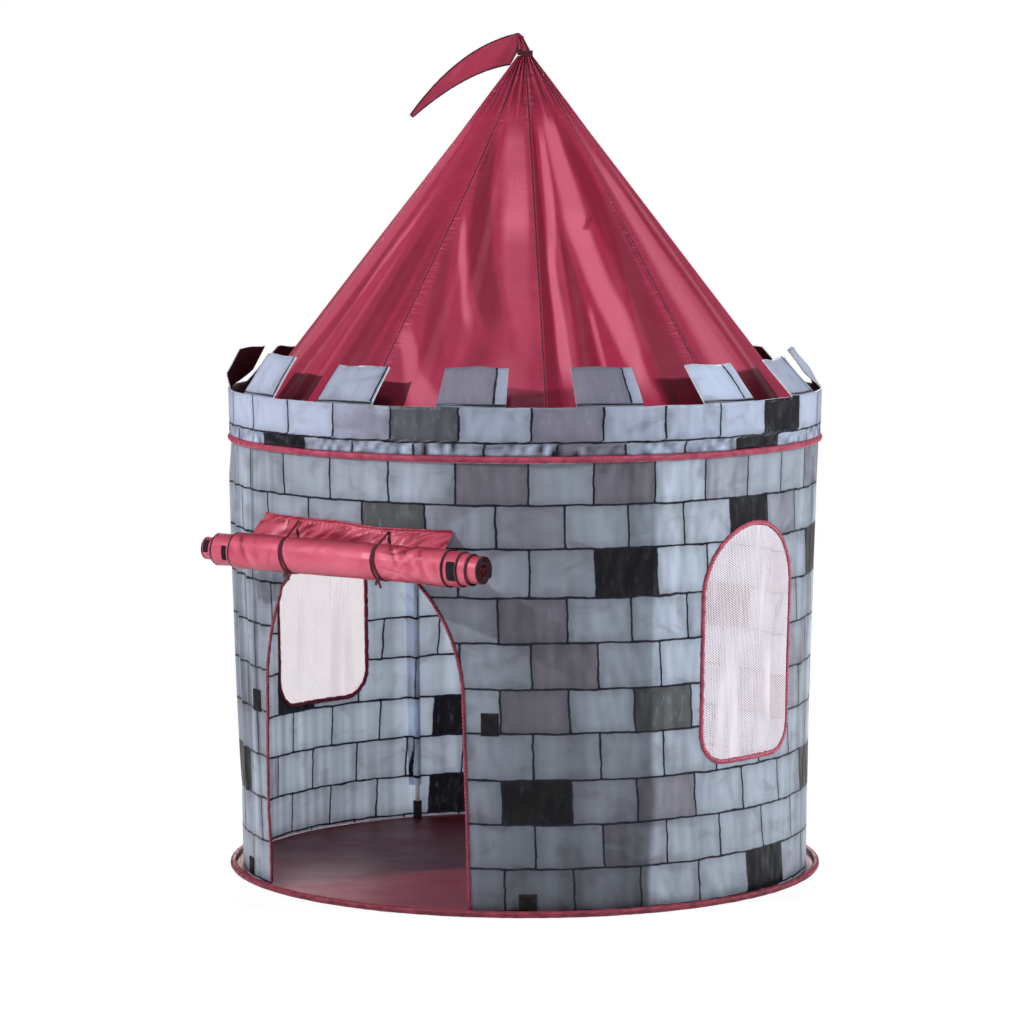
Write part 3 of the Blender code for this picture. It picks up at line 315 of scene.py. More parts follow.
# Streaks of painted highlight and painted shade on the roof: azimuth and share at one end and at the other,
# half widths in degrees, strength
ROOF_PAINTED_STREAKS = (
    ((-40.0, 0.08), (-38.0, 0.85), 7.0, 11.0, 0.44),
    ((-25.0, 0.08), (-20.0, 0.80), 2.2, 3.6, 0.18),
    ((-29.8, 0.10), (-22.0, 0.60), 0.6, 0.9, 0.45),
    ((-34.0, 0.10), (-27.0, 0.60), 2.6, 2.4, -0.46),
    ((-20.5, 0.06), (-18.0, 0.50), 1.0, 1.6, 0.40),
    ((-12.0, 0.08), (-7.0, 0.55), 4.0, 4.5, -0.42),
    ((-11.0, 0.08), (-6.0, 0.80), 9.0, 9.0, -0.30),
    ((-3.5, 0.12), (0.5, 0.55), 1.6, 1.6, -0.35),
    ((16.0, 0.10), (1.5, 0.30), 4.2, 2.6, 0.62),
    ((22.0, 0.31), (8.5, 0.57), 2.8, 1.6, 0.75),
    ((27.0, 0.30), (8.0, 0.78), 5.4, 5.0, -0.90),
    ((13.0, 0.22), (4.5, 0.52), 3.5, 2.5, -0.60),
    ((20.0, 0.10), (24.0, 0.26), 3.0, 3.5, -0.50),
    ((33.0, 0.10), (32.0, 0.62), 4.5, 6.0, 0.32),
    ((31.0, 0.55), (28.0, 0.80), 6.0, 9.0, 0.42),
    ((41.5, 0.12), (41.5, 0.88), 1.8, 2.4, -0.90),
    ((41.2, 0.46), (41.0, 0.84), 3.2, 5.5, -0.42),
    ((45.2, 0.18), (44.8, 0.48), 1.6, 2.2, 0.80),
    ((45.5, 0.48), (50.0, 0.80), 2.0, 2.6, 0.70),
    ((51.5, 0.14), (50.5, 0.55), 3.6, 1.2, -0.70),
    ((54.9, 0.19), (54.6, 0.35), 0.8, 1.0, 0.70),
    ((61.8, 0.55), (66.5, 0.58), 1.4, 1.6, -0.80),
    ((63.8, 0.16), (58.6, 0.55), 2.0, 5.6, 0.80),
    ((58.6, 0.55), (61.0, 0.86), 6.0, 8.0, 0.70),
    ((72.5, 0.10), (73.0, 0.82), 6.0, 5.5, -0.70),
    ((82.0, 0.08), (80.0, 0.60), 0.9, 1.4, -0.60),
    ((91.0, 0.14), (93.0, 0.74), 6.5, 6.0, 0.60),
    ((98.6, 0.12), (99.0, 0.66), 1.2, 1.2, 0.25),
    ((101.2, 0.12), (102.0, 0.66), 1.3, 1.3, -0.65),
    ((106.0, 0.10), (107.0, 0.70), 2.0, 2.4, 0.35),
    ((110.5, 0.10), (111.5, 0.70), 1.6, 2.0, -0.40),
)
# The same painted streaks are mirrored about this azimuth on the back of the roof
ROOF_STREAK_MIRROR = 230.0
# Degrees that each seam has turned where it reaches the tip
SEAM_TURNS = (11.0, 0.0, 10.0, -5.0, 7.0, -8.0, 4.0, -6.0, 3.0)
SEAM_HALF_WIDTH = 0.004
SEAM_LIFT = 0.0009
NECK_PLEATS = 26
NECK_PLEAT_LIFT = 0.0048
NECK_PLEAT_FADE = 0.55
NECK_START_SHARE = 0.80
# Painted shade over the gathered neck, with painted highlights on the crests of its pleats
NECK_PAINTED_SHADE_SHARES = (0.80, 0.91)
NECK_PAINTED_SHADE = -0.85
PLEAT_PAINTED_HIGHLIGHT = 1.15
PLEAT_POWER = 5
# The roof's folds start at a share of their lift at the eave, and rise from there and from the neck
EAVE_SHARE = 0.25
EAVE_HOLD = 10.0
NECK_HOLD = 14.0
FOLD_FULL_RADIUS = 0.42
FOLD_NARROW_POWER = 0.6
FOLD_SPREAD_SHARE = 0.9
GORE_EASE_SHARE = 0.2

# Tip
TUFT_FOOT_HEIGHT = 1.37176
TUFT_HEIGHT = 0.036
TUFT_NECK_RADIUS = 0.0112
TUFT_TOP_RADIUS = 0.0052
TUFT_LEAN = 0.0092
TUFT_PLEATS = 7
# Shares of the tuft's height where it starts to narrow and to fold in, and how far each goes on
TUFT_TAPER_SHARES = (0.15, 0.6)
TUFT_FOLD_SHARES = (0.88, 0.12)
# Depth of the tuft's pleats at its neck, and what they gain up to the rim
TUFT_PLEAT_DEPTHS = (0.10, 0.22)
TUFT_FOLD_DEPTH = 0.45
TUFT_FOLD_DROP = 0.06
TUFT_COLUMNS = 84
TUFT_ROWS = 22
TUFT_CLOTH = 0.0006
TUFT_MAP = (0.09, 0.04)
TIE_RADIUS = 0.0015
TIE_SIDES = 8
TIE_STEPS = 40
# The first turn of the tie starts this share of its radius below the tuft's foot
TIE_START_SHARE = 0.1
TIE_RING_RADIUS = 0.0122
TIE_TURNS = 3
PENNANT_AZIMUTH = -54.4
PENNANT_CLOTH = 0.0010
PENNANT_UPPER_START = Vector((0.0098, 1.40846))
PENNANT_LOWER_START = Vector((0.0260, 1.35620))
PENNANT_HOIST_BOW = 0.0052
# Painted light over the whole pennant
PENNANT_PAINTED_LIGHT = 0.30
PENNANT_LENGTH = 0.181
PENNANT_DROP = 0.138
PENNANT_TIP_WIDTH = 0.004
PENNANT_UPPER_SHARES = (0.55, 0.15)
PENNANT_LOWER_SHARES = (0.41, 0.08)
PENNANT_WAVE = 0.006
PENNANT_RIPPLE = 0.0016
PENNANT_COLUMNS = 60
PENNANT_ROWS = 16
PENNANT_EDGE_STEP = 0.015
PENNANT_HOIST_STEPS = (0.15, 0.35, 0.55, 0.75, 0.9)
PENNANT_EDGE_HALF_WIDTH = 0.0013
PENNANT_EDGE_HALF_DEPTH = 0.0011

# Pole channels
CUP_RADIUS = 0.008
SOCKET_GAP = 0.0005
ELBOW_INSET = 0.0121
POLE_FOOT_HEIGHT = 0.002
POLE_CORNER_HEIGHT = 0.7275
CHANNEL_HALF_WIDTH = 0.0057
CHANNEL_FLANGE = 0.007
# Painted light that lightens the pole channels
CHANNEL_PAINTED_LIGHT = 1.2
CHANNEL_FOOT_HEIGHT = 0.060
CHANNEL_TOP_HEIGHT = 0.670
CHANNEL_COLUMNS = 16
CHANNEL_ROWS = 80
CHANNEL_PRINT_STEP = 0.0025
CHANNEL_PUCKER_SHARE = 0.10
PRINT_WRAP_AZIMUTH = 317.0

# Rolled flap
FLAP_CLOTH = 0.0012
HEADER_TOP_HEIGHT = 0.6225
HEADER_HALF_DEGREES = 23.0
HEADER_REST_DEGREES = 40.0
HEADER_HEM = 0.004
HEADER_DROP = 0.0065
HEADER_TRIM_SHARE = 0.035
HEADER_FLARE = 0.012
HEADER_DROP_DEGREES = (-3.0, 9.0)
HEADER_COLUMNS = 150
HEADER_ROWS = 16
HEADER_HEM_ROWS = 3
HEADER_STITCH_PITCH = 0.0095
# The hem stands off the wall by the first, and more where it ruffles and where it is stitched
HEADER_HEM_LIFTS = (0.0006, 0.0012, 0.0004)
HEM_RUFFLE_SHARE = 0.15
HEM_STITCH_SHARE = 0.10
# Painted highlight and shade of the header's puckers, over painted shade on all of it
HEADER_PUCKER_PAINTED_LIGHT = 1.1
HEADER_PAINTED_SHADE = -0.30
HEADER_PINCH = 0.0007
HEADER_LIFT = 0.0056
HEADER_FOLD = 0.0075
HEADER_BIG_FOLD = 0.0060
HEADER_SAG = 0.0022
HEADER_DEEPEST = -0.001
HEADER_HUG_POWER = 1.8
HEADER_MAP = (0.40, 0.04)
ROLL_RADIUS = 0.0275
ROLL_HEIGHT = 0.5695
ROLL_WALL_GAP = 0.0032
ROLL_TURNS = 6
ROLL_PITCH = 0.0040
ROLL_TALL_SHARE = 1.13
ROLL_DROP = 0.0018
ROLL_FLARE_SHARE = 0.50
ROLL_FLARE_TURNS = 2.8
ROLL_FLARE_PLACES = (0.16, 0.24)
ROLL_LEFT_FLARE_SHARE = 0.45
# Turns of the roll end farther out one after another: last turn, left and right end
ROLL_STEPS = (
    (1.0, -0.2010, 0.2330),
    (1.85, -0.2400, 0.2590),
    (2.80, -0.2430, 0.2760),
    (9.0, -0.2640, 0.2960),
)
ROLL_TURN_STEPS = 56
ROLL_EDGE = 0.0032
ROLL_MAP_PER_TURN = 0.13
# Dents of the roll: under the ties, and where it is crushed right of its middle
TIE_DENT = (0.0014, 0.010)
CRUSH_PLACE = 0.150
CRUSH_WIDTH = 0.050
CRUSH_DEPTH = 0.0030
ROLL_WAVE = 0.0010
ROLL_RIDGE = 0.0005
ROLL_GRAIN = 0.0004
ROLL_HIGHEST = 0.0012
# Painted light round the roll, a highlight along its front and shade along its top and underside: middle
# and half width in degrees, strength
ROLL_FRONT_HIGHLIGHT = (190.0, 46.0, 0.55)
ROLL_TOP_SHADE = (80.0, 46.0, -0.95)
ROLL_UNDER_SHADE = (272.0, 34.0, -0.85)
# The front's painted highlight is weaker near the left end; painted light also drifts along the roll and
# follows the crushed creases, and the listed creases are painted on the outer turn only
ROLL_LEFT_PLACE = -0.190
ROLL_LEFT_WIDTH = 0.070
ROLL_LEFT_LOSS_SHARE = 0.5
ROLL_DRIFT_PAINTED_LIGHT = 0.30
ROLL_CREASE_PAINTED_LIGHT = 0.9
ROLL_OUTER_TURNS = 1.2
MILLIMETRES = 1000.0
ROLL_LENGTH_STEPS = 130
# Painted highlight and shade of creases on the roll's front: place along it in millimetres and share of the
# way from its top to its underside, at both ends, then half widths and strength
ROLL_PAINTED_CREASES = (
    ((120.0, 0.10), (140.0, 0.44), 3.2, 3.6, -1.00),
    ((130.0, 0.16), (150.0, 0.42), 3.0, 4.5, 0.70),
    ((152.0, 0.18), (168.0, 0.52), 4.0, 6.0, -0.40),
    ((166.0, 0.20), (180.0, 0.50), 5.0, 5.0, 0.45),
    ((180.0, 0.16), (197.0, 0.62), 4.0, 5.0, -0.60),
    ((110.0, 0.52), (150.0, 0.64), 6.0, 9.0, -0.60),
    ((128.0, 0.60), (160.0, 0.74), 8.0, 10.0, 0.60),
    ((160.0, 0.70), (200.0, 0.84), 9.0, 12.0, -0.55),
    ((112.0, 0.66), (122.0, 0.90), 3.0, 5.0, -0.50),
    ((198.0, 0.36), (214.0, 0.76), 4.0, 6.0, 0.45),
    ((212.0, 0.22), (222.0, 0.58), 3.0, 4.0, -0.45),
    ((-90.0, 0.20), (-80.0, 0.56), 2.5, 3.5, 0.30),
    ((-108.0, 0.24), (-118.0, 0.66), 2.5, 3.5, -0.35),
    ((84.0, 0.24), (70.0, 0.60), 2.5, 3.5, -0.30),
)
LOOP_TIE_PLACES = (("left", -0.098), ("right", 0.088))
LOOP_TIE_WIDTH = 0.0050
LOOP_TIE_CLOTH = 0.0014
LOOP_CLEARANCE = 0.0013
LOOP_START_SHARE = 0.06
LOOP_LEAN = 0.002
LOOP_OUT = 0.0032
LOOP_FIRST_DEGREES = 85.0
LOOP_LAST_DEGREES = 350.0
LOOP_KNOT_DEGREES = 228.0
LOOP_SLIDE = 0.014
LOOP_SPREAD = 0.0050
LOOP_STEPS = 44
LOOP_PART_SPEED = 1.6
LOOP_PUCKER = 0.12
# Loose ends below each knot: lean to the side and drop
LOOP_TAILS = ((0.008, 0.016), (-0.002, 0.012))
TAIL_STEPS = 6
TAIL_START = 0.004
TAIL_REACH = 0.0012
PAD_WIDTH = 0.030
PAD_CLOTH = 0.0016
PAD_MAP_STEP = 0.002
WALL_PAD_CELLS = (14, 16)
FLAP_PAD_CELLS = (8, 14)
# Height of a pad's outermost rows of points, as shares of its thickness
PAD_RIM_SHARES = (0.05, 0.8)
WALL_PADS = ((29.0, 0.309, 0.037), (-29.0, 0.309, 0.037), (36.2, 0.0205, 0.030), (-36.2, 0.0205, 0.030))
# Pads on the roll: name, middle along the roll, width, length round it, turn, nodes
FLAP_PADS = (
    ("left", -0.2545, 0.0125, 0.020, 3.33, ["flap_pad_left"]),
    ("left_inner", -0.2115, 0.0110, 0.023, 1.40, []),
    ("right", 0.2475, 0.0180, 0.030, 1.40, ["flap_pad_right"]),
)

# Light and stage
PLAIN_WHITE = (1.0, 1.0, 1.0)
# Each lamp: name, azimuth, elevation, distance, size, power, colour
LAMPS = (
    ("left_key", -24.0, 32.0, 5.0, 0.18, 250.0, (1.0, 0.98, 1.0)),
    ("top_key", 20.0, 66.0, 5.0, 1.0, 45.0, PLAIN_WHITE),
    ("right_key", 112.0, 24.0, 5.0, 0.6, 265.0, (0.95, 0.99, 1.0)),
    ("back_fill", 215.0, 30.0, 5.0, 2.4, 260.0, PLAIN_WHITE),
)
AMBIENT_STRENGTH = 0.24
AMBIENT_COLOUR = (0.96, 0.98, 1.0, 1.0)
STAGE_GREY = (0.90, 0.90, 0.90)
STAGE_ROUGHNESS = 0.8
STAGE_RADIUS = 12.0
STAGE_SIDES = 96
STAGE_SINK = 0.0006
# The floor turns white between these distances from the tent's axis
STAGE_FADE = (0.5, 1.5)
STAGE_NEAR_SHARE = 0.86

# Colours
BURGUNDY = (0.262, 0.014, 0.044)
BURGUNDY_DARK = (0.125, 0.008, 0.024)
BURGUNDY_PALE = (0.430, 0.060, 0.110)
# Painted highlight and painted shade of the satin
BURGUNDY_PAINTED_HIGHLIGHT = (0.500, 0.105, 0.160)
BURGUNDY_PAINTED_SHADE = (0.115, 0.002, 0.012)
FLOOR_RED = (0.135, 0.004, 0.012)
ROLL_PINK = (0.392, 0.060, 0.092)
LINING = (0.030, 0.020, 0.020)
NAVY_LINE = (0.008, 0.010, 0.022)
STONE_BLUE = (0.370, 0.430, 0.510)
STONE_GREY = (0.290, 0.325, 0.385)
STONE_PURPLE = (0.205, 0.202, 0.245)
STONE_GREEN = (0.085, 0.095, 0.100)
STONE_BLACK = (0.007, 0.007, 0.010)
# The band's copy of the print is drawn brighter, as painted light on the band
BAND_PAINTED_LIGHT_TINT = (1.38, 1.36, 1.48)
PALE_EDGE = (0.620, 0.640, 0.690)
NET_WHITE = (0.840, 0.760, 0.810)
MAROON_TAPE = (0.105, 0.014, 0.025)
PAD_BLACK = (0.006, 0.005, 0.006)
PAD_BROWN = (0.016, 0.014, 0.015)
STEEL = (0.50, 0.51, 0.53)
STEEL_PALE = (0.68, 0.68, 0.70)
GLASS_ROD = (0.74, 0.74, 0.68)
GLASS_ROD_PALE = (0.88, 0.88, 0.84)
MOULDING_BLACK = (0.016, 0.016, 0.018)
MOULDING_GREY = (0.045, 0.045, 0.050)
NET_PINK = (0.90, 0.80, 0.86)
SEAM_LINE_RED = (0.030, 0.004, 0.010)
LINING_PALE = (0.060, 0.035, 0.034)
EDGE_GREY = (0.45, 0.47, 0.52)
SATIN_TINT = (1.0, 0.42, 0.55, 1.0)
# Bindings: cloth, painted shade in its folds, thread
TRIM_REDS = ((0.300, 0.035, 0.070), (0.170, 0.014, 0.038), (0.52, 0.24, 0.30))
DOOR_TRIM_REDS = ((0.190, 0.016, 0.036), (0.080, 0.006, 0.014), (0.40, 0.14, 0.20))
DARK_TRIM_REDS = ((0.026, 0.003, 0.006), (0.010, 0.002, 0.004), (0.07, 0.01, 0.02))

# Fine structure of the cloths, in metres unless a share
STITCH_PITCH = 0.0052
STITCH_INSET = 0.0030
THREAD_WIDTHS = (0.0003, 0.0007)
SEAM_LINE_WIDTHS = (0.0004, 0.0013)
SEAM_HIGHLIGHT_WIDTHS = ((0.0012, 0.0022), (0.0026, 0.0040))
SEAM_PUCKER_WIDTH = 0.030
SEAM_PUCKER_LIFT = 0.0022
SEAM_LINE_LIFT = 0.0012
SATIN_RIB_LIFT = 0.00008
SATIN_CRUMPLE_LIFT = 0.0009
PLAIN_LIFT = 0.0003
LINING_LIFT = 0.0006
PILE_LIFT = 0.0005
STEEL_LIFT = 0.00005
ROD_LIFT = 0.00006
MOULDING_LIFT = 0.00008
BINDING_STITCH_PITCH = 0.0062
BINDING_STITCH_SHARE = 0.30
BINDING_RIB_PITCH = 0.0011
BINDING_FOLD_LIFT = 0.0010
BINDING_RIB_LIFT = 0.00006
BINDING_STITCH_LIFT = 0.0003
NET_PITCH = 0.0040
NET_ROW_SHARE = 0.866
NET_DIRECTIONS = (0.0, 60.0, 120.0)
NET_THREAD_LIFT = 0.0002
NET_DRIFT_LIFT = 0.002
PRINT_SOFT_LIFT = 0.012
PRINT_CRUMPLE_LIFT = 0.0004
PRINT_WEAVE_LIFT = 0.00006
# Wobble of the printed joints: noise scale, detail, reach in stones and rows
JOINT_WOBBLES = ((2.6, 3.0, (0.060, 0.100, 0.0)), (11.0, 2.0, (0.012, 0.018, 0.0)))
JOINT_CORNER = 0.004
# Where a joint's line ends, as shares of its half width: all dark inside, all stone outside
JOINT_EDGE_SHARES = (0.55, 1.25)
STONE_EDGE_SHADE_WIDTH = 0.020
# Tints dealt out to the plain stones, by chance
STONE_TINTS = (
    (0.0, STONE_GREY), (0.35, STONE_BLUE), (0.60, STONE_GREY), (0.80, STONE_BLUE), (1.0, STONE_PURPLE),
)
# Listed stones, their colour and how strongly pale streaks, painted highlights on the cloth's folds, run
# through it
STONE_LISTS = (
    (GREY_STONES, STONE_PURPLE, 0.25), (GREEN_STONES, STONE_GREEN, 0.30), (BLACK_STONES, STONE_BLACK, 0.10),
)


# Camera

CAMERA_AZIMUTH = 35.6
CAMERA_DISTANCE = 7.0
CAMERA_HEIGHT = 1.298
CAMERA_PITCH = -0.09925
CAMERA_YAW = 0.00312
CAMERA_SENSOR = 36.0
CAMERA_REACH = 100.0
CAMERA_FOCAL_PIXELS = 4143.1
PICTURE_PIXELS = 1024.0


def on_circle(azimuth, radius, height):
    turn = math.radians(azimuth)
    return Vector((radius * math.sin(turn), -radius * math.cos(turn), height))


def outward(azimuth):
    return on_circle(azimuth, 1.0, 0.0)


def add_camera():
    data = bpy.data.cameras.new("camera")
    data.sensor_width = CAMERA_SENSOR
    data.lens = CAMERA_SENSOR * CAMERA_FOCAL_PIXELS / PICTURE_PIXELS
    data.clip_end = CAMERA_REACH
    camera = bpy.data.objects.new("camera", data)
    camera.location = on_circle(CAMERA_AZIMUTH, CAMERA_DISTANCE, CAMERA_HEIGHT)
    camera.rotation_euler = (math.pi / 2 + CAMERA_PITCH, 0.0, math.radians(CAMERA_AZIMUTH) + CAMERA_YAW)
    bpy.context.collection.objects.link(camera)
    bpy.context.scene.camera = camera


# Shader nodes


def mix_shaders(tree, share, under, over, surface):
    """Show one shader over another in a share that is a number or a socket."""
    mixer = tree.nodes.new("ShaderNodeMixShader")
    if isinstance(share, bpy.types.NodeSocket):
        tree.links.new(share, mixer.inputs[0])
    else:
        mixer.inputs[0].default_value = share
    tree.links.new(under.outputs[0], mixer.inputs[1])
    tree.links.new(over.outputs[0], mixer.inputs[2])
    tree.links.new(mixer.outputs[0], surface)
    return mixer


class Graph:
    """Short calls that build the nodes of one material."""

    def __init__(self, name):
        self.material = bpy.data.materials.new(name)
        self.material.use_nodes = True
        self.tree = self.material.node_tree
        self.shader = self.tree.nodes["Principled BSDF"]
        self.surface = self.tree.nodes["Material Output"].inputs["Surface"]

    def add(self, kind, **settings):
        node = self.tree.nodes.new(kind)
        for key, value in settings.items():
            setattr(node, key, value)
        return node

    def feed(self, socket, value):
        if isinstance(value, bpy.types.NodeSocket):
            self.tree.links.new(value, socket)
        elif isinstance(value, tuple) and len(value) == 3 and len(socket.default_value) == 4:
            socket.default_value = (*value, 1.0)
        else:
            socket.default_value = value

    def sum(self, operation, *values):
        node = self.add("ShaderNodeMath", operation=operation)
        for socket, value in zip(node.inputs, values):
            self.feed(socket, value)
        return node.outputs[0]

    def shift(self, operation, *values):
        node = self.add("ShaderNodeVectorMath", operation=operation)
        for socket, value in zip(node.inputs, values):
            self.feed(socket, value)
        return node.outputs[0]

    def times(self, first, second):
        return self.sum("MULTIPLY", first, second)

    # The piece's mark of painted light and shade
    def painted_light(self):
        return self.add("ShaderNodeAttribute", attribute_name=PAINTED_LIGHT_MARK).outputs["Fac"]

    def drawn_cloud(self, vector, scales, **settings):
        """Noise with a scale of its own along each axis."""
        return self.cloud(self.shift("MULTIPLY", vector, (*scales, 1.0)), 1.0, **settings)

    def stitches(self, along, pitch, low, high):
        """1 on each stitch of a row and 0 between the stitches."""
        part = self.sum("FRACT", self.sum("DIVIDE", along, pitch))
        return self.smooth(self.sum("ABSOLUTE", self.sum("SUBTRACT", part, 0.5)), low, high, 1.0, 0.0)

    def place(self):
        return self.add("ShaderNodeUVMap", uv_map=PRINT_MAP).outputs[0]

    def split(self, vector):
        node = self.add("ShaderNodeSeparateXYZ")
        self.feed(node.inputs[0], vector)
        return node.outputs

    def join(self, x, y, z=0.0):
        node = self.add("ShaderNodeCombineXYZ")
        for socket, value in zip(node.inputs, (x, y, z)):
            self.feed(socket, value)
        return node.outputs[0]

    def cloud(self, vector, scale, detail=2.0, roughness=0.5, kind="FBM", colour=False, warp=0.0):
        node = self.add("ShaderNodeTexNoise", noise_type=kind)
        self.feed(node.inputs["Vector"], vector)
        self.feed(node.inputs["Scale"], scale)
        self.feed(node.inputs["Detail"], detail)
        self.feed(node.inputs["Roughness"], roughness)
        self.feed(node.inputs["Distortion"], warp)
        return node.outputs["Color" if colour else "Fac"]

    def smooth(self, value, low, high, first=0.0, last=1.0):
        node = self.add("ShaderNodeMapRange", interpolation_type="SMOOTHSTEP")
        names = ("Value", "From Min", "From Max", "To Min", "To Max")
        for name, number in zip(names, (value, low, high, first, last)):
            self.feed(node.inputs[name], number)
        return node.outputs[0]

    def mix(self, share, first, second, blend="MIX"):
        node = self.add("ShaderNodeMix", data_type="RGBA", blend_type=blend, clamp_factor=True)
        self.feed(node.inputs[0], share)
        self.feed(node.inputs[6], first)
        self.feed(node.inputs[7], second)
        return node.outputs[2]

    def ramp(self, value, stops):
        node = self.add("ShaderNodeValToRGB")
        self.feed(node.inputs[0], value)
        elements = node.color_ramp.elements
        while len(elements) < len(stops):
            elements.new(0.5)
        for element, (position, colour) in zip(elements, stops):
            element.position = position
            element.color = (*colour, 1.0)
        return node.outputs[0]

    def bump(self, height, distance, normal=None):
        node = self.add("ShaderNodeBump")
        self.feed(node.inputs["Strength"], 1.0)
        self.feed(node.inputs["Distance"], distance)
        self.feed(node.inputs["Height"], height)
        if normal is not None:
            self.feed(node.inputs["Normal"], normal)
        return node.outputs[0]

    def finish(self, colour, roughness, normal=None, translucent=0.0, **plain):
        self.feed(self.shader.inputs["Base Color"], colour)
        self.feed(self.shader.inputs["Roughness"], roughness)
        if normal is not None:
            self.feed(self.shader.inputs["Normal"], normal)
        for name, value in plain.items():
            self.shader.inputs[name.replace("_", " ")].default_value = value
        if translucent:
            through = self.add("ShaderNodeBsdfTranslucent")
            self.feed(through.inputs["Color"], colour)
            mix_shaders(self.tree, translucent, self.shader, through, self.surface)
        return self.material


def stone_cells(graph, place):
    """Stone and row at a place of the print, and metres to the nearest joint."""
    middle = (0.5, 0.5, 0.5)
    wobbles = []
    for scale, detail, reach in JOINT_WOBBLES:
        cloud = graph.cloud(place, scale, detail=detail, colour=True)
        wobbles.append(graph.shift("MULTIPLY", graph.shift("SUBTRACT", cloud, middle), reach))
    x, y, _ = graph.split(graph.shift("ADD", place, graph.shift("ADD", *wobbles)))
    row = graph.sum("FLOOR", y)
    even = graph.sum("SUBTRACT", 1.0, graph.sum("FLOORED_MODULO", row, 2.0))
    along = graph.sum("SUBTRACT", x, graph.times(even, EVEN_ROW_SHIFT))
    stone = graph.sum("FLOORED_MODULO", graph.sum("FLOOR", along), float(STONE_COUNT))
    near = []
    for count, length in ((along, STONE_LENGTH), (y, STONE_HEIGHT)):
        share = graph.sum("FRACT", count)
        gap = graph.sum("MINIMUM", share, graph.sum("SUBTRACT", 1.0, share))
        near.append(graph.times(gap, length))
    return stone, row, graph.sum("SMOOTH_MIN", *near, JOINT_CORNER)


def stone_tone(graph, place, stone, row):
    """Colour of each stone: a tint by chance, unless it is on a list."""
    chance = graph.add("ShaderNodeTexWhiteNoise", noise_dimensions="2D")
    middles = [graph.sum("ADD", number, 0.5) for number in (stone, row)]
    graph.feed(chance.inputs["Vector"], graph.join(*middles))
    tone = graph.ramp(chance.outputs["Value"], STONE_TINTS)
    puff = graph.cloud(place, 1.7, detail=3.0, warp=0.6)
    tone = graph.mix(graph.smooth(puff, 0.38, 0.72, 0.0, 0.55), tone, STONE_BLUE)
    tone = graph.mix(graph.smooth(puff, 0.46, 0.30, 0.0, 0.45), tone, STONE_PURPLE)

    number = graph.sum("ADD", graph.times(row, float(STONE_COUNT)), stone)
    # Pale streaks over the listed stones: painted highlights on the folds of the satin
    streak = graph.smooth(graph.drawn_cloud(place, (9.0, 2.2), detail=4.0, roughness=0.65), 0.50, 0.78)
    for stones, colour, painted_highlight_share in STONE_LISTS:
        mask = 0.0
        for row_number, place_number in stones:
            wanted = float(row_number * STONE_COUNT + place_number % STONE_COUNT)
            mask = graph.sum("ADD", mask, graph.sum("COMPARE", number, wanted, 0.5))
        tone = graph.mix(mask, tone, graph.mix(graph.times(streak, painted_highlight_share), colour, STONE_BLUE))
    return tone


def stone_colour(graph, place, tint):
    """Colour of the print under the piece's painted light and shade; place holds stones along and rows up.
    """
    stone, row, edge = stone_cells(graph, place)
    width = graph.sum("ADD", graph.cloud(place, 3.1, detail=4.0), 0.45)
    low, high = (JOINT_HALF_WIDTH * share for share in JOINT_EDGE_SHARES)
    joint = graph.smooth(graph.sum("DIVIDE", edge, width), low, high, 1.0, 0.0)
    tone = stone_tone(graph, place, stone, row)
    grain = graph.cloud(place, 60.0, detail=3.0)
    shade = graph.times(graph.smooth(edge, 0.0, STONE_EDGE_SHADE_WIDTH, 0.80, 1.0),
                        graph.smooth(grain, 0.2, 0.8, 0.94, 1.05))
    # Painted light and shade from the piece's mark brighten or darken the print
    shade = graph.times(shade, graph.sum("ADD", graph.painted_light(), 1.0))
    tint = graph.shift("MULTIPLY", graph.join(shade, shade, shade), tint)
    return graph.mix(joint, graph.mix(1.0, tone, tint, blend="MULTIPLY"), NAVY_LINE)


def printed_cloth(name, tint=(1.0, 1.0, 1.0)):
    graph = Graph(name)
    place = graph.place()
    colour = stone_colour(graph, place, tint)
    creased = graph.shift("MULTIPLY", place, (1.5, 1.0, 1.0))
    crumple = graph.cloud(creased, 4.5, 5.0, 0.6, "RIDGED_MULTIFRACTAL")
    soft = graph.cloud(graph.shift("MULTIPLY", place, (1.6, 0.45, 1.0)), 2.2, detail=1.0)
    weave = graph.drawn_cloud(place, (160.0, 260.0), detail=1.0)
    normal = graph.bump(soft, PRINT_SOFT_LIFT)
    normal = graph.bump(crumple, PRINT_CRUMPLE_LIFT, normal)
    normal = graph.bump(weave, PRINT_WEAVE_LIFT, normal)
    roughness = graph.smooth(crumple, 0.2, 0.9, 0.40, 0.52)
    return graph.finish(colour, roughness, normal, translucent=0.45, Specular_IOR_Level=0.26)


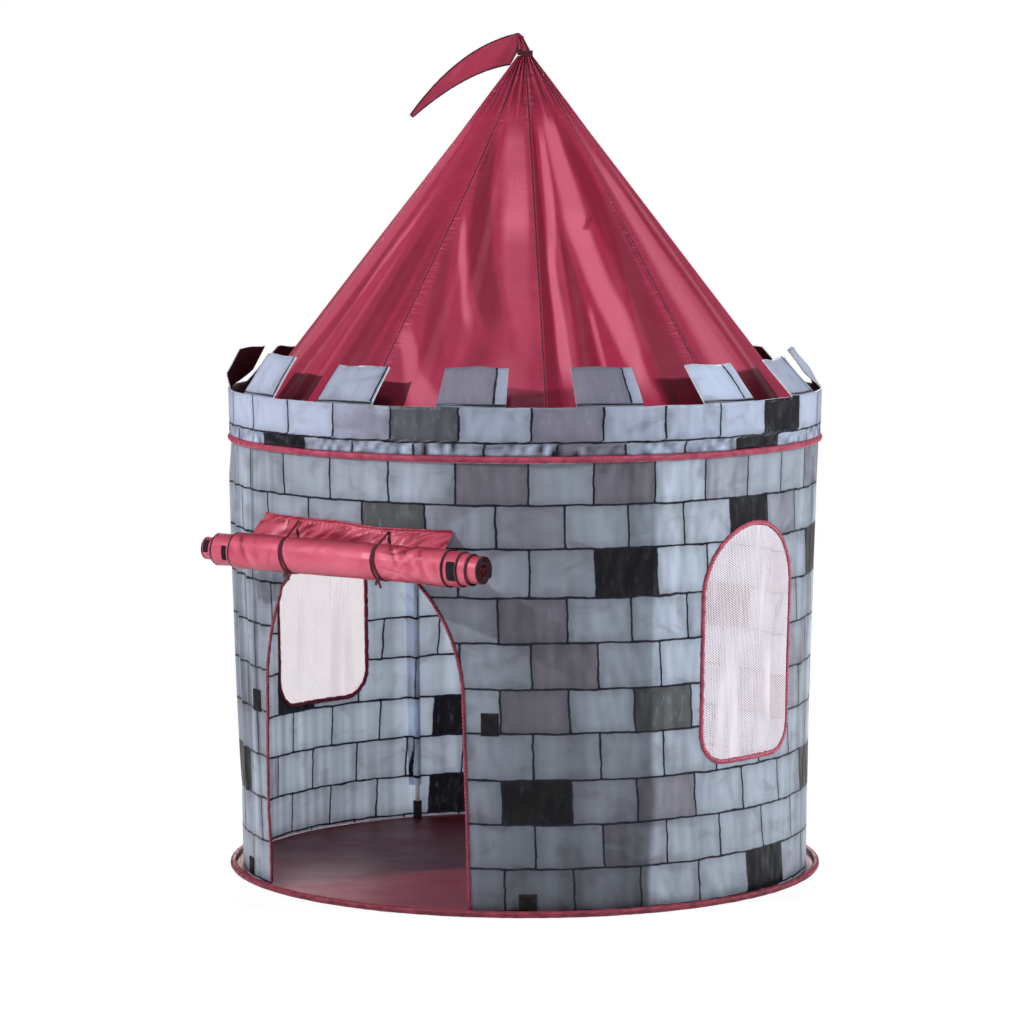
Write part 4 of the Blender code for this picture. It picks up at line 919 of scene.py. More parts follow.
def sewn_seams(graph, place, tone, dark, normal):
    """Puckers, stitches and the join on both sides of a gore, with a painted highlight beside each seam
    line; x counts metres from its left seam.
    """
    x, y, _ = graph.split(place)
    width = graph.sum("MULTIPLY_ADD", y, GORE_TAPER, GORE_EAVE_WIDTH)
    gap = graph.sum("MINIMUM", x, graph.sum("SUBTRACT", width, x))
    pucker = graph.drawn_cloud(place, (22.0, 95.0), detail=3.0, warp=0.8)
    pucker = graph.times(pucker, graph.smooth(gap, 0.0, SEAM_PUCKER_WIDTH, 1.0, 0.0))
    normal = graph.bump(pucker, SEAM_PUCKER_LIFT, normal)
    line = graph.smooth(gap, *SEAM_LINE_WIDTHS, 1.0, 0.0)
    inner, outer = SEAM_HIGHLIGHT_WIDTHS
    edge = graph.sum("SUBTRACT", graph.smooth(gap, *inner), graph.smooth(gap, *outer))
    stitch = graph.stitches(y, STITCH_PITCH, 0.30, 0.36)
    row_gap = graph.sum("ABSOLUTE", graph.sum("SUBTRACT", gap, STITCH_INSET))
    thread = graph.times(stitch, graph.smooth(row_gap, *THREAD_WIDTHS, 1.0, 0.0))
    # A paler band beside the seam line: painted highlight on the seam's ridge
    tone = graph.mix(graph.times(edge, 0.35), tone, BURGUNDY_PALE)
    tone = graph.mix(graph.times(thread, 0.8), tone, dark)
    tone = graph.mix(line, tone, SEAM_LINE_RED)
    return tone, graph.bump(graph.times(line, -1.0), SEAM_LINE_LIFT, normal)


def satin_cloth(name, colour, dark, translucent=0.12, seams=False):
    """Burgundy nylon, with painted highlight and painted shade where its mark of painted light says so."""
    graph = Graph(name)
    place = graph.place()
    painted_light = graph.painted_light()
    cloud = graph.cloud(place, 9.0, detail=3.0)
    tone = graph.mix(graph.smooth(cloud, 0.3, 0.7, 0.0, 0.30), colour, dark)
    fade = graph.cloud(place, 38.0, detail=4.0, roughness=0.6)
    tone = graph.mix(graph.smooth(fade, 0.45, 0.8, 0.0, 0.16), tone, BURGUNDY_PALE)
    # Painted highlight where the mark is above 0, painted shade where it is below 0
    tone = graph.mix(graph.smooth(painted_light, 0.0, 1.0, 0.0, 0.9), tone, BURGUNDY_PAINTED_HIGHLIGHT)
    tone = graph.mix(graph.smooth(graph.times(painted_light, -1.0), 0.0, 1.0, 0.0, 0.85), tone, BURGUNDY_PAINTED_SHADE)
    crumple = graph.cloud(place, 17.0, 5.0, 0.6, "RIDGED_MULTIFRACTAL")
    ribs = graph.drawn_cloud(place, (900.0, 2600.0), detail=1.0)
    normal = graph.bump(ribs, SATIN_RIB_LIFT, graph.bump(crumple, SATIN_CRUMPLE_LIFT))
    if seams:
        tone, normal = sewn_seams(graph, place, tone, dark, normal)
    roughness = graph.smooth(cloud, 0.3, 0.7, 0.36, 0.48)
    return graph.finish(tone, roughness, normal, translucent, Specular_IOR_Level=0.50,
                        Specular_Tint=SATIN_TINT)


def binding_cloth(name, colour, dark, thread):
    """Folded tape with a row of stitches; x runs along it in metres, y across from 0 to 1."""
    graph = Graph(name)
    x, y, _ = graph.split(graph.place())
    cloud = graph.cloud(graph.join(graph.times(x, 60.0), graph.times(y, 3.0)), 1.0, detail=4.0)
    # Darker patches that follow the tape's folds: painted shade
    tone = graph.mix(graph.smooth(cloud, 0.35, 0.70), colour, dark)
    stitch = graph.stitches(x, BINDING_STITCH_PITCH, 0.20, 0.28)
    across = graph.sum("ABSOLUTE", graph.sum("SUBTRACT", y, BINDING_STITCH_SHARE))
    marks = graph.times(stitch, graph.smooth(across, 0.02, 0.045, 1.0, 0.0))
    tone = graph.mix(graph.times(marks, 0.75), tone, thread)
    ribs = graph.sum("SINE", graph.times(x, 2 * math.pi / BINDING_RIB_PITCH))
    normal = graph.bump(cloud, BINDING_FOLD_LIFT)
    normal = graph.bump(ribs, BINDING_RIB_LIFT, normal)
    normal = graph.bump(marks, BINDING_STITCH_LIFT, normal)
    return graph.finish(tone, graph.smooth(cloud, 0.3, 0.7, 0.45, 0.65), normal, Specular_IOR_Level=0.3)


def plain_cloth(name, colour, dark, scale=240.0, lift=PLAIN_LIFT):
    graph = Graph(name)
    place = graph.place()
    cloud = graph.cloud(place, scale / 12.0, detail=4.0, roughness=0.6)
    pile = graph.cloud(place, scale, detail=3.0, roughness=0.7)
    tone = graph.mix(graph.smooth(cloud, 0.3, 0.7), colour, dark)
    tone = graph.mix(graph.smooth(pile, 0.5, 0.8, 0.0, 0.35), tone, dark)
    normal = graph.bump(cloud, lift * 3, graph.bump(pile, lift))
    roughness = graph.smooth(pile, 0.3, 0.7, 0.6, 0.85)
    return graph.finish(tone, roughness, normal, Specular_IOR_Level=0.08)


def net_cloth(name):
    """Fine knitted net: round holes in a staggered grid, seen through."""
    graph = Graph(name)
    x, y, _ = graph.split(graph.place())
    waves = []
    for degrees in NET_DIRECTIONS:
        turn = math.radians(degrees)
        along = graph.sum("ADD", graph.times(x, math.cos(turn)), graph.times(y, math.sin(turn)))
        waves.append(graph.sum("COSINE", graph.times(along, 2 * math.pi / (NET_PITCH * NET_ROW_SHARE))))
    total = graph.sum("ADD", graph.sum("ADD", waves[0], waves[1]), waves[2])
    solid = graph.smooth(total, -0.9, 1.6, 0.92, 0.18)
    crease = graph.cloud(graph.join(graph.times(x, 21.0), graph.times(y, 2.2)), 1.0, detail=2.0)
    solid = graph.sum("MAXIMUM", solid, graph.smooth(crease, 0.47, 0.66, 0.0, 0.92))
    drift = graph.cloud(graph.place(), 22.0, detail=3.0)
    tone = graph.mix(graph.smooth(drift, 0.30, 0.70), NET_WHITE, NET_PINK)
    thread = graph.cloud(graph.place(), 900.0, detail=2.0)
    normal = graph.bump(drift, NET_DRIFT_LIFT, graph.bump(thread, NET_THREAD_LIFT))
    graph.finish(tone, graph.smooth(thread, 0.3, 0.7, 0.65, 0.85), normal, translucent=0.40)
    cloth = graph.surface.links[0].from_node
    mix_shaders(graph.tree, solid, graph.add("ShaderNodeBsdfTransparent"), cloth, graph.surface)
    return graph.material


def moulded(name, colour, pale, roughness, scale, lift, streak=(1.0, 1.0, 1.0), **plain):
    """Rigid parts: placed by the object's own coordinates."""
    graph = Graph(name)
    own = graph.add("ShaderNodeTexCoord").outputs["Object"]
    cloud = graph.cloud(graph.shift("MULTIPLY", own, streak), scale, detail=5.0, roughness=0.6)
    rub = graph.cloud(own, scale / 9.0, detail=3.0)
    tone = graph.mix(graph.smooth(cloud, 0.35, 0.75, 0.0, 0.5), colour, pale)
    tone = graph.mix(graph.smooth(rub, 0.55, 0.75, 0.0, 0.3), tone, pale)
    return graph.finish(tone, graph.smooth(cloud, 0.3, 0.7, *roughness), graph.bump(cloud, lift), **plain)


# Mesh helpers


def add_mesh(name, points, faces, spots, materials, slots=None):
    """Link a mesh; spots holds one map place for each corner, in the order of the faces."""
    used = sorted({index for face in faces for index in face})
    renamed = {old: new for new, old in enumerate(used)}
    mesh = bpy.data.meshes.new(name)
    corners = [[renamed[index] for index in face] for face in faces]
    mesh.from_pydata([points[index] for index in used], [], corners)
    layer = mesh.uv_layers.new(name=PRINT_MAP)
    layer.uv.foreach_set("vector", [number for spot in spots for number in spot])
    for material in materials:
        mesh.materials.append(material)
    if slots:
        mesh.polygons.foreach_set("material_index", slots)
    mesh.shade_smooth()
    piece = bpy.data.objects.new(name, mesh)
    bpy.context.collection.objects.link(piece)
    return piece


def grid_piece(name, columns, rows, place, spot, materials, closed=False, round_rows=False, has_cell=None,
               slot_of=None):
    """A sheet of cells. place(column, row) gives a point and spot(column, row) its map place."""
    column_count = columns if closed else columns + 1
    row_count = rows if round_rows else rows + 1
    points = [place(column, row) for row in range(row_count) for column in range(column_count)]
    marks = {(column, row): spot(column, row) for row in range(rows + 1) for column in range(columns + 1)}
    faces = []
    spots = []
    slots = []
    for row in range(rows):
        for column in range(columns):
            if has_cell is not None and not has_cell(column, row):
                continue
            corners = ((column, row), (column + 1, row), (column + 1, row + 1), (column, row + 1))
            faces.append([(r % row_count) * column_count + c % column_count for c, r in corners])
            spots += [marks[corner] for corner in corners]
            slots.append(slot_of(column, row) if slot_of else 0)
    return add_mesh(name, points, faces, spots, materials, slots)


def thicken(piece, thickness, back=0, rim=0):
    """Give a sheet two sides; back and rim count on from the front's material."""
    modifier = piece.modifiers.new("cloth", "SOLIDIFY")
    modifier.thickness = thickness
    modifier.offset = 0.0
    modifier.material_offset = back
    modifier.material_offset_rim = rim
    apply_modifiers(piece)


def apply_modifiers(piece):
    solid = bpy.data.meshes.new_from_object(piece.evaluated_get(bpy.context.evaluated_depsgraph_get()))
    old = piece.data
    piece.modifiers.clear()
    piece.data = solid
    bpy.data.meshes.remove(old)
    solid.name = piece.name


def sweep(name, path, normals, half_width, half_depth, materials, closed=False, sides=10, pucker=0.0,
          seed=0.0):
    """A flattened tube along a path; normals point out of the cloth that it lies on."""
    lengths = [0.0]
    for here, there in zip(path, path[1:] + path[:1]):
        lengths.append(lengths[-1] + (there - here).length)
    count = len(path)

    def place(column, row):
        index = column % count
        before = path[index - 1] if closed or index > 0 else path[index]
        after = path[(index + 1) % count] if closed or index < count - 1 else path[index]
        along = (after - before).normalized()
        normal = (normals[index] - along * normals[index].dot(along)).normalized()
        across = along.cross(normal)
        turn = 2 * math.pi * row / sides
        swell = 1 + pucker * noise.noise(Vector((lengths[index] * 120.0, math.cos(turn), seed)))
        return path[index] + across * (half_width * swell * math.cos(turn)) + normal * (
            half_depth * swell * math.sin(turn))

    def spot(column, row):
        return (lengths[column], row / sides)

    columns = count if closed else count - 1
    return grid_piece(name, columns, sides, place, spot, materials, closed=closed, round_rows=True)


def dress(piece, body, nodes=()):
    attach(piece, body)
    if nodes:
        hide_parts(*nodes)


# Curves, waves and painted light


def ease(value, low, high):
    share = min(max((value - low) / (high - low), 0.0), 1.0)
    return share * share * (3 - 2 * share)


def azimuth_gap(azimuth, other):
    return (azimuth - other + 180.0) % 360.0 - 180.0


def bell(gap, half_width):
    return math.exp(-((gap / half_width) ** 2))


def waves(table, azimuth, share):
    """Smooth noise that closes round the tent, summed over the rows of a table."""
    turn = math.radians(azimuth)
    total = 0.0
    for scale, rise, shift, strength in table:
        spot = Vector((scale * math.sin(turn), scale * math.cos(turn), rise * share + shift))
        total += strength * noise.noise(spot)
    return total


# Sum of patches of painted light and shade
def painted_patches(places, azimuth):
    return sum(strength * bell(azimuth - middle, half_width) for middle, half_width, strength in places)


# Store painted light and shade at each point of a piece
def mark_painted_light(piece, values):
    layer = piece.data.attributes.new(PAINTED_LIGHT_MARK, "FLOAT", "POINT")
    layer.data.foreach_set("value", values)


def streak_painted_light(streaks, azimuth, share):
    """Sum of the painted streaks at a place, from -1 for painted shade to 1 for painted highlight."""
    total = 0.0
    for low, high, low_width, high_width, strength in streaks:
        part = (share - low[1]) / (high[1] - low[1])
        inside = min(part, 1 - part) + STREAK_RUN_ON
        if inside <= 0:
            continue
        width = low_width + (high_width - low_width) * part
        gap = abs(azimuth_gap(azimuth, low[0] + (high[0] - low[0]) * part)) / width
        if gap < STREAK_REACH:
            total += strength * min(1.0, inside / STREAK_FADE) * math.exp(-(gap ** STREAK_POWER))
    return min(max(total, -1.0), 1.0)


# Wall


def fold_lift(folds, azimuth, share, spread_share=0.0):
    """Height of the listed folds at a place; they grow wider in degrees as share grows."""
    lift = 0.0
    for low, high, width, height, first, last in folds:
        if not first < share < last:
            continue
        gap = abs(azimuth_gap(azimuth, low + (high - low) * share))
        width = width * (1 + spread_share * share)
        if gap < FOLD_REACH * width:
            fade = math.sin(math.pi * (share - first) / (last - first)) ** FOLD_FADE_POWER
            lift += height * fade * bell(gap, width)
    return lift


def wall_line(azimuth, share):
    """Radius of the wall without its creases; it sags between the poles."""
    sag = abs(math.sin(math.radians(2 * (azimuth - POLE_AZIMUTHS[0])))) * math.sin(math.pi * share)
    return WALL_FOOT_RADIUS + (WALL_TOP_RADIUS - WALL_FOOT_RADIUS) * share - WALL_SAG * sag


def wall_radius(azimuth, height):
    """Middle of the wall cloth with its creases."""
    share = min(max(height / HOOP_HEIGHT, 0.0), 1.0)
    bow = max(math.sin(math.pi * share), 0.0)
    nearest = min(abs(azimuth_gap(azimuth, pole)) for pole in POLE_AZIMUTHS)
    hold = min(1.0, WALL_HOLD * share, WALL_HOLD * (1 - share))
    radius = wall_line(azimuth, share)
    radius += POLE_RIDGE * bell(nearest, POLE_RIDGE_DEGREES) * bow
    radius += CREASE_LIFT * math.exp(-nearest / CREASE_DEGREES) * math.sqrt(bow)
    radius += fold_lift(WALL_FOLDS, azimuth, share) * hold
    return radius + WAVE_LIFT * waves(WALL_WAVES, azimuth, share) * hold


def wall_outside(azimuth, height):
    return wall_radius(azimuth, height) + WALL_CLOTH / 2


def wall_point(arc, height, azimuth, lift=0.0):
    turn = azimuth + math.degrees(arc / HOOP_RADIUS)
    return on_circle(turn, wall_radius(turn, height) + lift, height)


def count_between(value, steps):
    """The piecewise straight line through (place, count) steps, run on past both ends."""
    for (low, low_count), (high, high_count) in zip(steps, steps[1:]):
        if value <= high or high == steps[-1][0]:
            return low_count + (high_count - low_count) * (value - low) / (high - low)
    return 0.0


def stone_place(azimuth, height):
    """Stones along and rows up at a place of the wall."""
    row = count_between(height, [(level, float(index)) for index, level in enumerate(ROW_HEIGHTS)])
    share = min(max((TOP_JOINT_ROW - row) / TOP_JOINT_ROW, 0.0), 1.0)
    top = count_between(azimuth, TOP_JOINTS)
    foot = count_between(azimuth, FOOT_JOINTS)
    return (top + (foot - top) * share, row)


def arch_half(half, share):
    """Half the width of a round arch at a share of its rise; less than none above the arch."""
    return half * math.sqrt(1 - share * share) if share < 1 else -1.0


def door_half(height, offset=0.0):
    half = DOOR_HALF_WIDTH + offset
    if height <= DOOR_SPRING_HEIGHT:
        share = (DOOR_SPRING_HEIGHT - height) / (DOOR_SPRING_HEIGHT - DOOR_FOOT_CLEARANCE)
        return half + DOOR_FOOT_FLARE * min(share, 1.0)
    return arch_half(half, (height - DOOR_SPRING_HEIGHT) / (DOOR_ARCH_RISE + offset))


def window_half(height, offset=0.0):
    half = WINDOW_HALF_WIDTH + offset
    spring = WINDOW_TOP_HEIGHT - WINDOW_ARCH_RISE
    corner = WINDOW_CORNER_RADIUS + offset
    above_foot = height - WINDOW_FOOT_HEIGHT + offset
    if above_foot < 0:
        return -1.0
    if above_foot < corner:
        drop = (corner - above_foot) / corner
        return half - corner + corner * math.sqrt(1 - drop * drop)
    if height <= spring:
        return half
    return arch_half(half, (height - spring) / (WINDOW_ARCH_RISE + offset))


def even_path(points, step, closed=False):
    """The same line with evenly spaced points."""
    loop = points + points[:1] if closed else points
    lengths = [0.0]
    for here, there in zip(loop, loop[1:]):
        lengths.append(lengths[-1] + math.dist(here, there))
    count = max(2, round(lengths[-1] / step))
    path = []
    index = 0
    for number in range(count if closed else count + 1):
        wanted = lengths[-1] * number / count
        while index < len(loop) - 2 and lengths[index + 1] < wanted:
            index += 1
        span = lengths[index + 1] - lengths[index]
        share = (wanted - lengths[index]) / span if span else 0.0
        path.append(tuple(a + (b - a) * share for a, b in zip(loop[index], loop[index + 1])))
    return path


def door_outline(offset, foot_height):
    half = DOOR_HALF_WIDTH + offset
    points = [(half + DOOR_FOOT_FLARE, foot_height), (half + DOOR_FOOT_FLARE, DOOR_FOOT_CLEARANCE)]
    for step in range(DOOR_ARCH_STEPS + 1):
        turn = math.pi * step / DOOR_ARCH_STEPS
        height = DOOR_SPRING_HEIGHT + (DOOR_ARCH_RISE + offset) * math.sin(turn)
        points.append((half * math.cos(turn), height))
    points += [(-arc, height) for arc, height in points[1::-1]]
    return even_path(points, OUTLINE_STEP)


def window_outline(offset):
    half = WINDOW_HALF_WIDTH + offset
    corner = WINDOW_CORNER_RADIUS + offset
    level = WINDOW_FOOT_HEIGHT - offset + corner
    spring = WINDOW_TOP_HEIGHT - WINDOW_ARCH_RISE
    points = []
    for side, first in ((-1, 180.0), (1, 270.0)):
        for step in range(CORNER_STEPS + 1):
            turn = math.radians(first + 90.0 * step / CORNER_STEPS)
            arc = side * (half - corner) + corner * math.cos(turn)
            points.append((arc, level + corner * math.sin(turn)))
    for step in range(WINDOW_ARCH_STEPS + 1):
        turn = math.pi * step / WINDOW_ARCH_STEPS
        points.append((half * math.cos(turn), spring + (WINDOW_ARCH_RISE + offset) * math.sin(turn)))
    return even_path(points, OUTLINE_STEP, closed=True)


def wall_painted_light(azimuth, height):
    """Painted shade between the door and the first pole right of it, painted light beyond, with soft
    upright bands of painted light and shade.
    """
    azimuth = azimuth_gap(azimuth, 0.0)
    share = height / HOOP_HEIGHT
    edge = POLE_AZIMUTHS[0] + 0.9 * noise.noise(Vector((1.0, 5.0, 6.0 * share)))
    beyond = ease(azimuth, edge - 0.5, edge + 1.1)
    shaded = ease(azimuth, *SHADED_DEGREES) * (1 - beyond)
    pole_shade = POLE_SHADE * bell(azimuth - edge + POLE_SHADE_DEGREES, POLE_SHADE_DEGREES)
    highlight_offset, highlight_width = POLE_PAINTED_HIGHLIGHT_DEGREES
    painted_light = waves(WALL_PAINTED_BANDS, azimuth, share)
    painted_light += waves(WALL_PAINTED_FLUTES, azimuth, share) * (1 - ease(azimuth, *FLUTED_DEGREES))
    painted_light += beyond * BEYOND_PAINTED_LIGHT * (1 - ease(azimuth, *BEYOND_DEGREES))
    painted_light += beyond * POLE_PAINTED_HIGHLIGHT * bell(azimuth - edge - highlight_offset, highlight_width)
    for middle, middle_height, half_width, half_height, strength in WALL_PAINTED_PATCHES:
        gap = math.hypot((azimuth - middle) / half_width, (height - middle_height) / half_height)
        painted_light += strength * bell(gap, 1.0)
    painted_light += streak_painted_light(WALL_PAINTED_STREAKS, azimuth, share)
    return painted_light - shaded * (SHADE + FOOT_SHADE * (1 - share) + pole_shade)


def cut_sheet(name, arcs, heights, outline, closed, keep, to_point, to_spot, materials, painted_light=None):
    """A sheet of triangles over arcs by heights that follows an outline; keep(arc, height, margin)
    tells what stays."""
    flat = []
    edges = []
    for index, corner in enumerate(outline):
        flat.append(Vector(corner))
        if closed or index < len(outline) - 1:
            edges.append((index, (index + 1) % len(outline)))
    for arc in arcs:
        for height in heights:
            if keep(arc, height, CUT_MARGIN):
                flat.append(Vector((arc, height)))
    corners, _, triangles, _, _, _ = delaunay_2d_cdt(flat, edges, [], 0, 1e-7)
    faces = []
    for triangle in triangles:
        arc = sum(corners[index].x for index in triangle) / 3
        height = sum(corners[index].y for index in triangle) / 3
        if keep(arc, height, 0.0):
            faces.append(list(triangle))
    points = [to_point(corner.x, corner.y) for corner in corners]
    marks = [to_spot(corner.x, corner.y) for corner in corners]
    spots = [marks[index] for face in faces for index in face]
    piece = add_mesh(name, points, faces, spots, materials)
    if painted_light:
        used = sorted({index for face in faces for index in face})
        mark_painted_light(piece, [painted_light(corners[index].x, corners[index].y) for index in used])
    return piece


def spread(low, high, step):
    count = max(1, round((high - low) / step))
    return [low + (high - low) * index / count for index in range(count + 1)]


def build_wall(cloth):
    step = HOOP_RADIUS * math.radians(WALL_STEP_DEGREES)
    heights = spread(WALL_FOOT_HEIGHT, WALL_TOP_HEIGHT, WALL_STEP_HEIGHT)
    quarter = HOOP_RADIUS * math.radians(PANEL_DEGREES)
    window_cut = window_outline(0.0)
    door_cut = door_outline(0.0, WALL_FOOT_HEIGHT)

    def outside_window(arc, height, margin):
        return abs(arc) > window_half(height, margin) + margin / 4

    def outside_door(arc, height, margin):
        return abs(arc) > door_half(height, margin) + margin / 4

    def anywhere(arc, height, margin):
        return True

    right_window, left_window = WINDOW_AZIMUTHS
    plans = (
        ("door", 0.0, DOOR_PANEL_START, door_cut, False, outside_door, DOOR_PANEL_AREA),
        ("right", right_window, POLE_AZIMUTHS[0], window_cut, True, outside_window, WINDOW_PANEL_AREA),
        ("back", BACK_PANEL_AZIMUTH, POLE_AZIMUTHS[1], [], False, anywhere, None),
        ("left", left_window, POLE_AZIMUTHS[2], window_cut, True, outside_window, WINDOW_PANEL_AREA),
    )
    for side, middle, start, outline, closed, keep, area in plans:
        low = HOOP_RADIUS * math.radians(start - middle)
        arcs = spread(low, low + quarter, step)

        def to_point(arc, height, middle=middle):
            return wall_point(arc, height, middle)

        def to_spot(arc, height, middle=middle):
            return stone_place(middle + math.degrees(arc / HOOP_RADIUS), height)

        # Painted light and shade of each panel
        def to_painted_light(arc, height, middle=middle):
            return wall_painted_light(middle + math.degrees(arc / HOOP_RADIUS), height)

        panel = cut_sheet("wall_print_" + side, arcs, heights, outline, closed, keep, to_point, to_spot,
                          [cloth], to_painted_light)
        dress(panel, "tent", ["wall_" + side + "_panel"])


def build_openings(trim, door_trim, net):
    def bound(name, outline, azimuth, half_width, cloth, node, **settings):
        path = [wall_point(arc, height, azimuth, WALL_CLOTH / 4) for arc, height in outline]
        normals = [outward(azimuth + math.degrees(arc / HOOP_RADIUS)) for arc, height in outline]
        binding = sweep(name, path, normals, half_width, BINDING_HALF_DEPTH, [cloth], **settings)
        dress(binding, "tent", [node])

    bound("door_edge", door_outline(0.0, DOOR_FOOT_CLEARANCE), 0.0, DOOR_BINDING_HALF_WIDTH, door_trim,
          "door_binding", pucker=DOOR_BINDING_PUCKER)
    outline = window_outline(0.0)
    arcs = spread(-WINDOW_HALF_WIDTH, WINDOW_HALF_WIDTH, NET_STEP)
    heights = spread(WINDOW_FOOT_HEIGHT, WINDOW_TOP_HEIGHT, NET_STEP)

    def inside(arc, height, margin):
        return abs(arc) < window_half(height, -margin) - margin / 4

    def to_spot(arc, height):
        return (arc, height)

    for azimuth, side in zip(WINDOW_AZIMUTHS, ("right", "left")):
        bound("window_edge_" + side, outline, azimuth, BINDING_HALF_WIDTH, trim, "window_binding_" + side,
              closed=True, pucker=WINDOW_BINDING_PUCKER, seed=azimuth)

        def to_point(arc, height, azimuth=azimuth):
            across = arc / WINDOW_HALF_WIDTH
            up = (height - WINDOW_FOOT_HEIGHT) / (WINDOW_TOP_HEIGHT - WINDOW_FOOT_HEIGHT)
            slack = max(0.0, 1 - across * across) * math.sin(math.pi * min(max(up, 0.0), 1.0))
            lift = NET_PULL_LIFT * noise.noise(Vector((arc * 45.0, height * 9.0, azimuth))) - NET_SINK
            for place, lean, half_width, sign in NET_CREASES:
                lift += NET_CREASE_LIFT * sign * bell(across - place - lean * up, half_width)
            return wall_point(arc, height, azimuth, lift * slack)

        sheet = cut_sheet("window_mesh_" + side, arcs, heights, outline, True, inside, to_point, to_spot,
                          [net])
        dress(sheet, "tent", ["window_net_" + side])


def build_sleeves(trim, shaded_base_trim):
    """Each sleeve is a strip folded round its hoop, open towards the tent's axis."""
    sweep_degrees = 360.0 - SLEEVE_SLIT_DEGREES
    # The base sleeve takes a darker binding than the top one: painted shade at the foot of the tent
    plans = (("top_hoop", HOOP_HEIGHT, trim), ("base_hoop", BASE_HOOP_HEIGHT, shaded_base_trim))
    for name, height, cloth in plans:

        def place(column, row, height=height):
            azimuth = 360.0 * column / SLEEVE_STEPS
            turn = math.pi + math.radians(SLEEVE_SLIT_DEGREES / 2 + sweep_degrees * row / SLEEVE_SIDES)
            spot = Vector((azimuth * 0.9, 1.4 * math.cos(turn), height * 20 + 1.4 * math.sin(turn)))
            radius = SLEEVE_RADIUS * (1 + SLEEVE_PUCKER_SHARE * noise.noise(spot))
            reach = HOOP_RADIUS + radius * math.cos(turn)
            return on_circle(azimuth, reach, height + radius * math.sin(turn))

        def spot(column, row):
            return (2 * math.pi * HOOP_RADIUS * column / SLEEVE_STEPS, row / SLEEVE_SIDES)

        piece = grid_piece(name + "_piping", SLEEVE_STEPS, SLEEVE_SIDES, place, spot, [cloth], closed=True)
        dress(piece, "tent", [name + "_sleeve"])


def build_floor(cloth):
    def place(column, row):
        radius = FLOOR_RADIUS * (row + FLOOR_HOLE_SHARE) / (FLOOR_RINGS + FLOOR_HOLE_SHARE)
        point = on_circle(360.0 * column / FLOOR_STEPS, radius, FLOOR_HEIGHT)
        ripple = noise.noise(Vector((point.x * 9.0, point.y * 9.0, 0.0)))
        ripple += 0.6 * noise.noise(Vector((point.x * 26.0, point.y * 26.0, 4.0)))
        calm = min(1.0, (FLOOR_RINGS - row) / FLOOR_CALM_RINGS)
        point.z += FLOOR_RIPPLE * max(0.0, ripple) * calm
        return point

    def spot(column, row):
        point = place(column, row)
        return (point.x, point.y)

    piece = grid_piece("floor_cloth", FLOOR_STEPS, FLOOR_RINGS, place, spot, [cloth], closed=True)
    dress(piece, "tent", ["floor_sheet"])


def pole_line(azimuth):
    foot_radius = WALL_FOOT_RADIUS - WALL_CLOTH / 2 - CUP_RADIUS - SOCKET_GAP
    foot = on_circle(azimuth, foot_radius, POLE_FOOT_HEIGHT)
    corner = on_circle(azimuth, HOOP_RADIUS - ELBOW_INSET, POLE_CORNER_HEIGHT)
    return foot, corner


def build_channels(cloth):
    length = CHANNEL_TOP_HEIGHT - CHANNEL_FOOT_HEIGHT
    for number, azimuth in enumerate(POLE_AZIMUTHS, start=1):
        foot, corner = pole_line(azimuth)
        side = outward(azimuth + 90.0)
        out = outward(azimuth)

        def place(column, row, azimuth=azimuth, foot=foot, corner=corner, side=side, out=out):
            height = CHANNEL_FOOT_HEIGHT + length * row / CHANNEL_ROWS
            middle = foot.lerp(corner, (height - foot.z) / (corner.z - foot.z))
            pull = 1 + CHANNEL_PUCKER_SHARE * noise.noise(Vector((azimuth, height * 38.0, column * 0.3)))
            if column < 2 or column > CHANNEL_COLUMNS - 2:
                far = CHANNEL_HALF_WIDTH + (CHANNEL_FLANGE if column in (0, CHANNEL_COLUMNS) else 0.0)
                across = -far if column < 2 else far
                turn = azimuth + math.degrees(across / HOOP_RADIUS)
                return on_circle(turn, wall_radius(turn, height) - WALL_CLOTH, height)
            turn = math.pi * (column - 2) / (CHANNEL_COLUMNS - 4)
            reach = CHANNEL_HALF_WIDTH * pull
            return middle - side * (reach * math.cos(turn)) - out * (reach * math.sin(turn))

        def spot(column, row, azimuth=azimuth):
            across = (column - CHANNEL_COLUMNS / 2) * CHANNEL_PRINT_STEP
            beside = azimuth + math.degrees(across / HOOP_RADIUS)
            wrap = 360.0 if beside > PRINT_WRAP_AZIMUTH else 0.0
            return stone_place(beside - wrap, CHANNEL_FOOT_HEIGHT + length * row / CHANNEL_ROWS)

        name = "channel_cloth_" + str(number)
        piece = grid_piece(name, CHANNEL_COLUMNS, CHANNEL_ROWS, place, spot, [cloth])
        # Painted light over the whole channel
        mark_painted_light(piece, [CHANNEL_PAINTED_LIGHT] * len(piece.data.vertices))
        dress(piece, "tent", ["pole_channel_" + str(number)])


# Battlement band


def band_painted_light(point):
    """Painted light at the far left and right, painted shade across the middle and on the merlon right of
    it, and painted shade on the strip below the band.
    """
    turned = math.degrees(math.atan2(point.x, -point.y))
    azimuth = BAND_PAINTED_LIGHT_MIDDLE + azimuth_gap(turned, BAND_PAINTED_LIGHT_MIDDLE)
    painted_light = painted_patches(BAND_PAINTED_PATCHES, azimuth)
    if point.z < STRIP_TOP_HEIGHT:
        painted_light += STRIP_PAINTED_SHADE + waves(STRIP_PAINTED_PUCKER_SHADES, azimuth, point.z)
    if point.z > BAND_RIM_HEIGHT + BAND_CLOTH:
        painted_light += painted_patches(MERLON_PAINTED_PATCHES, azimuth)
    return painted_light


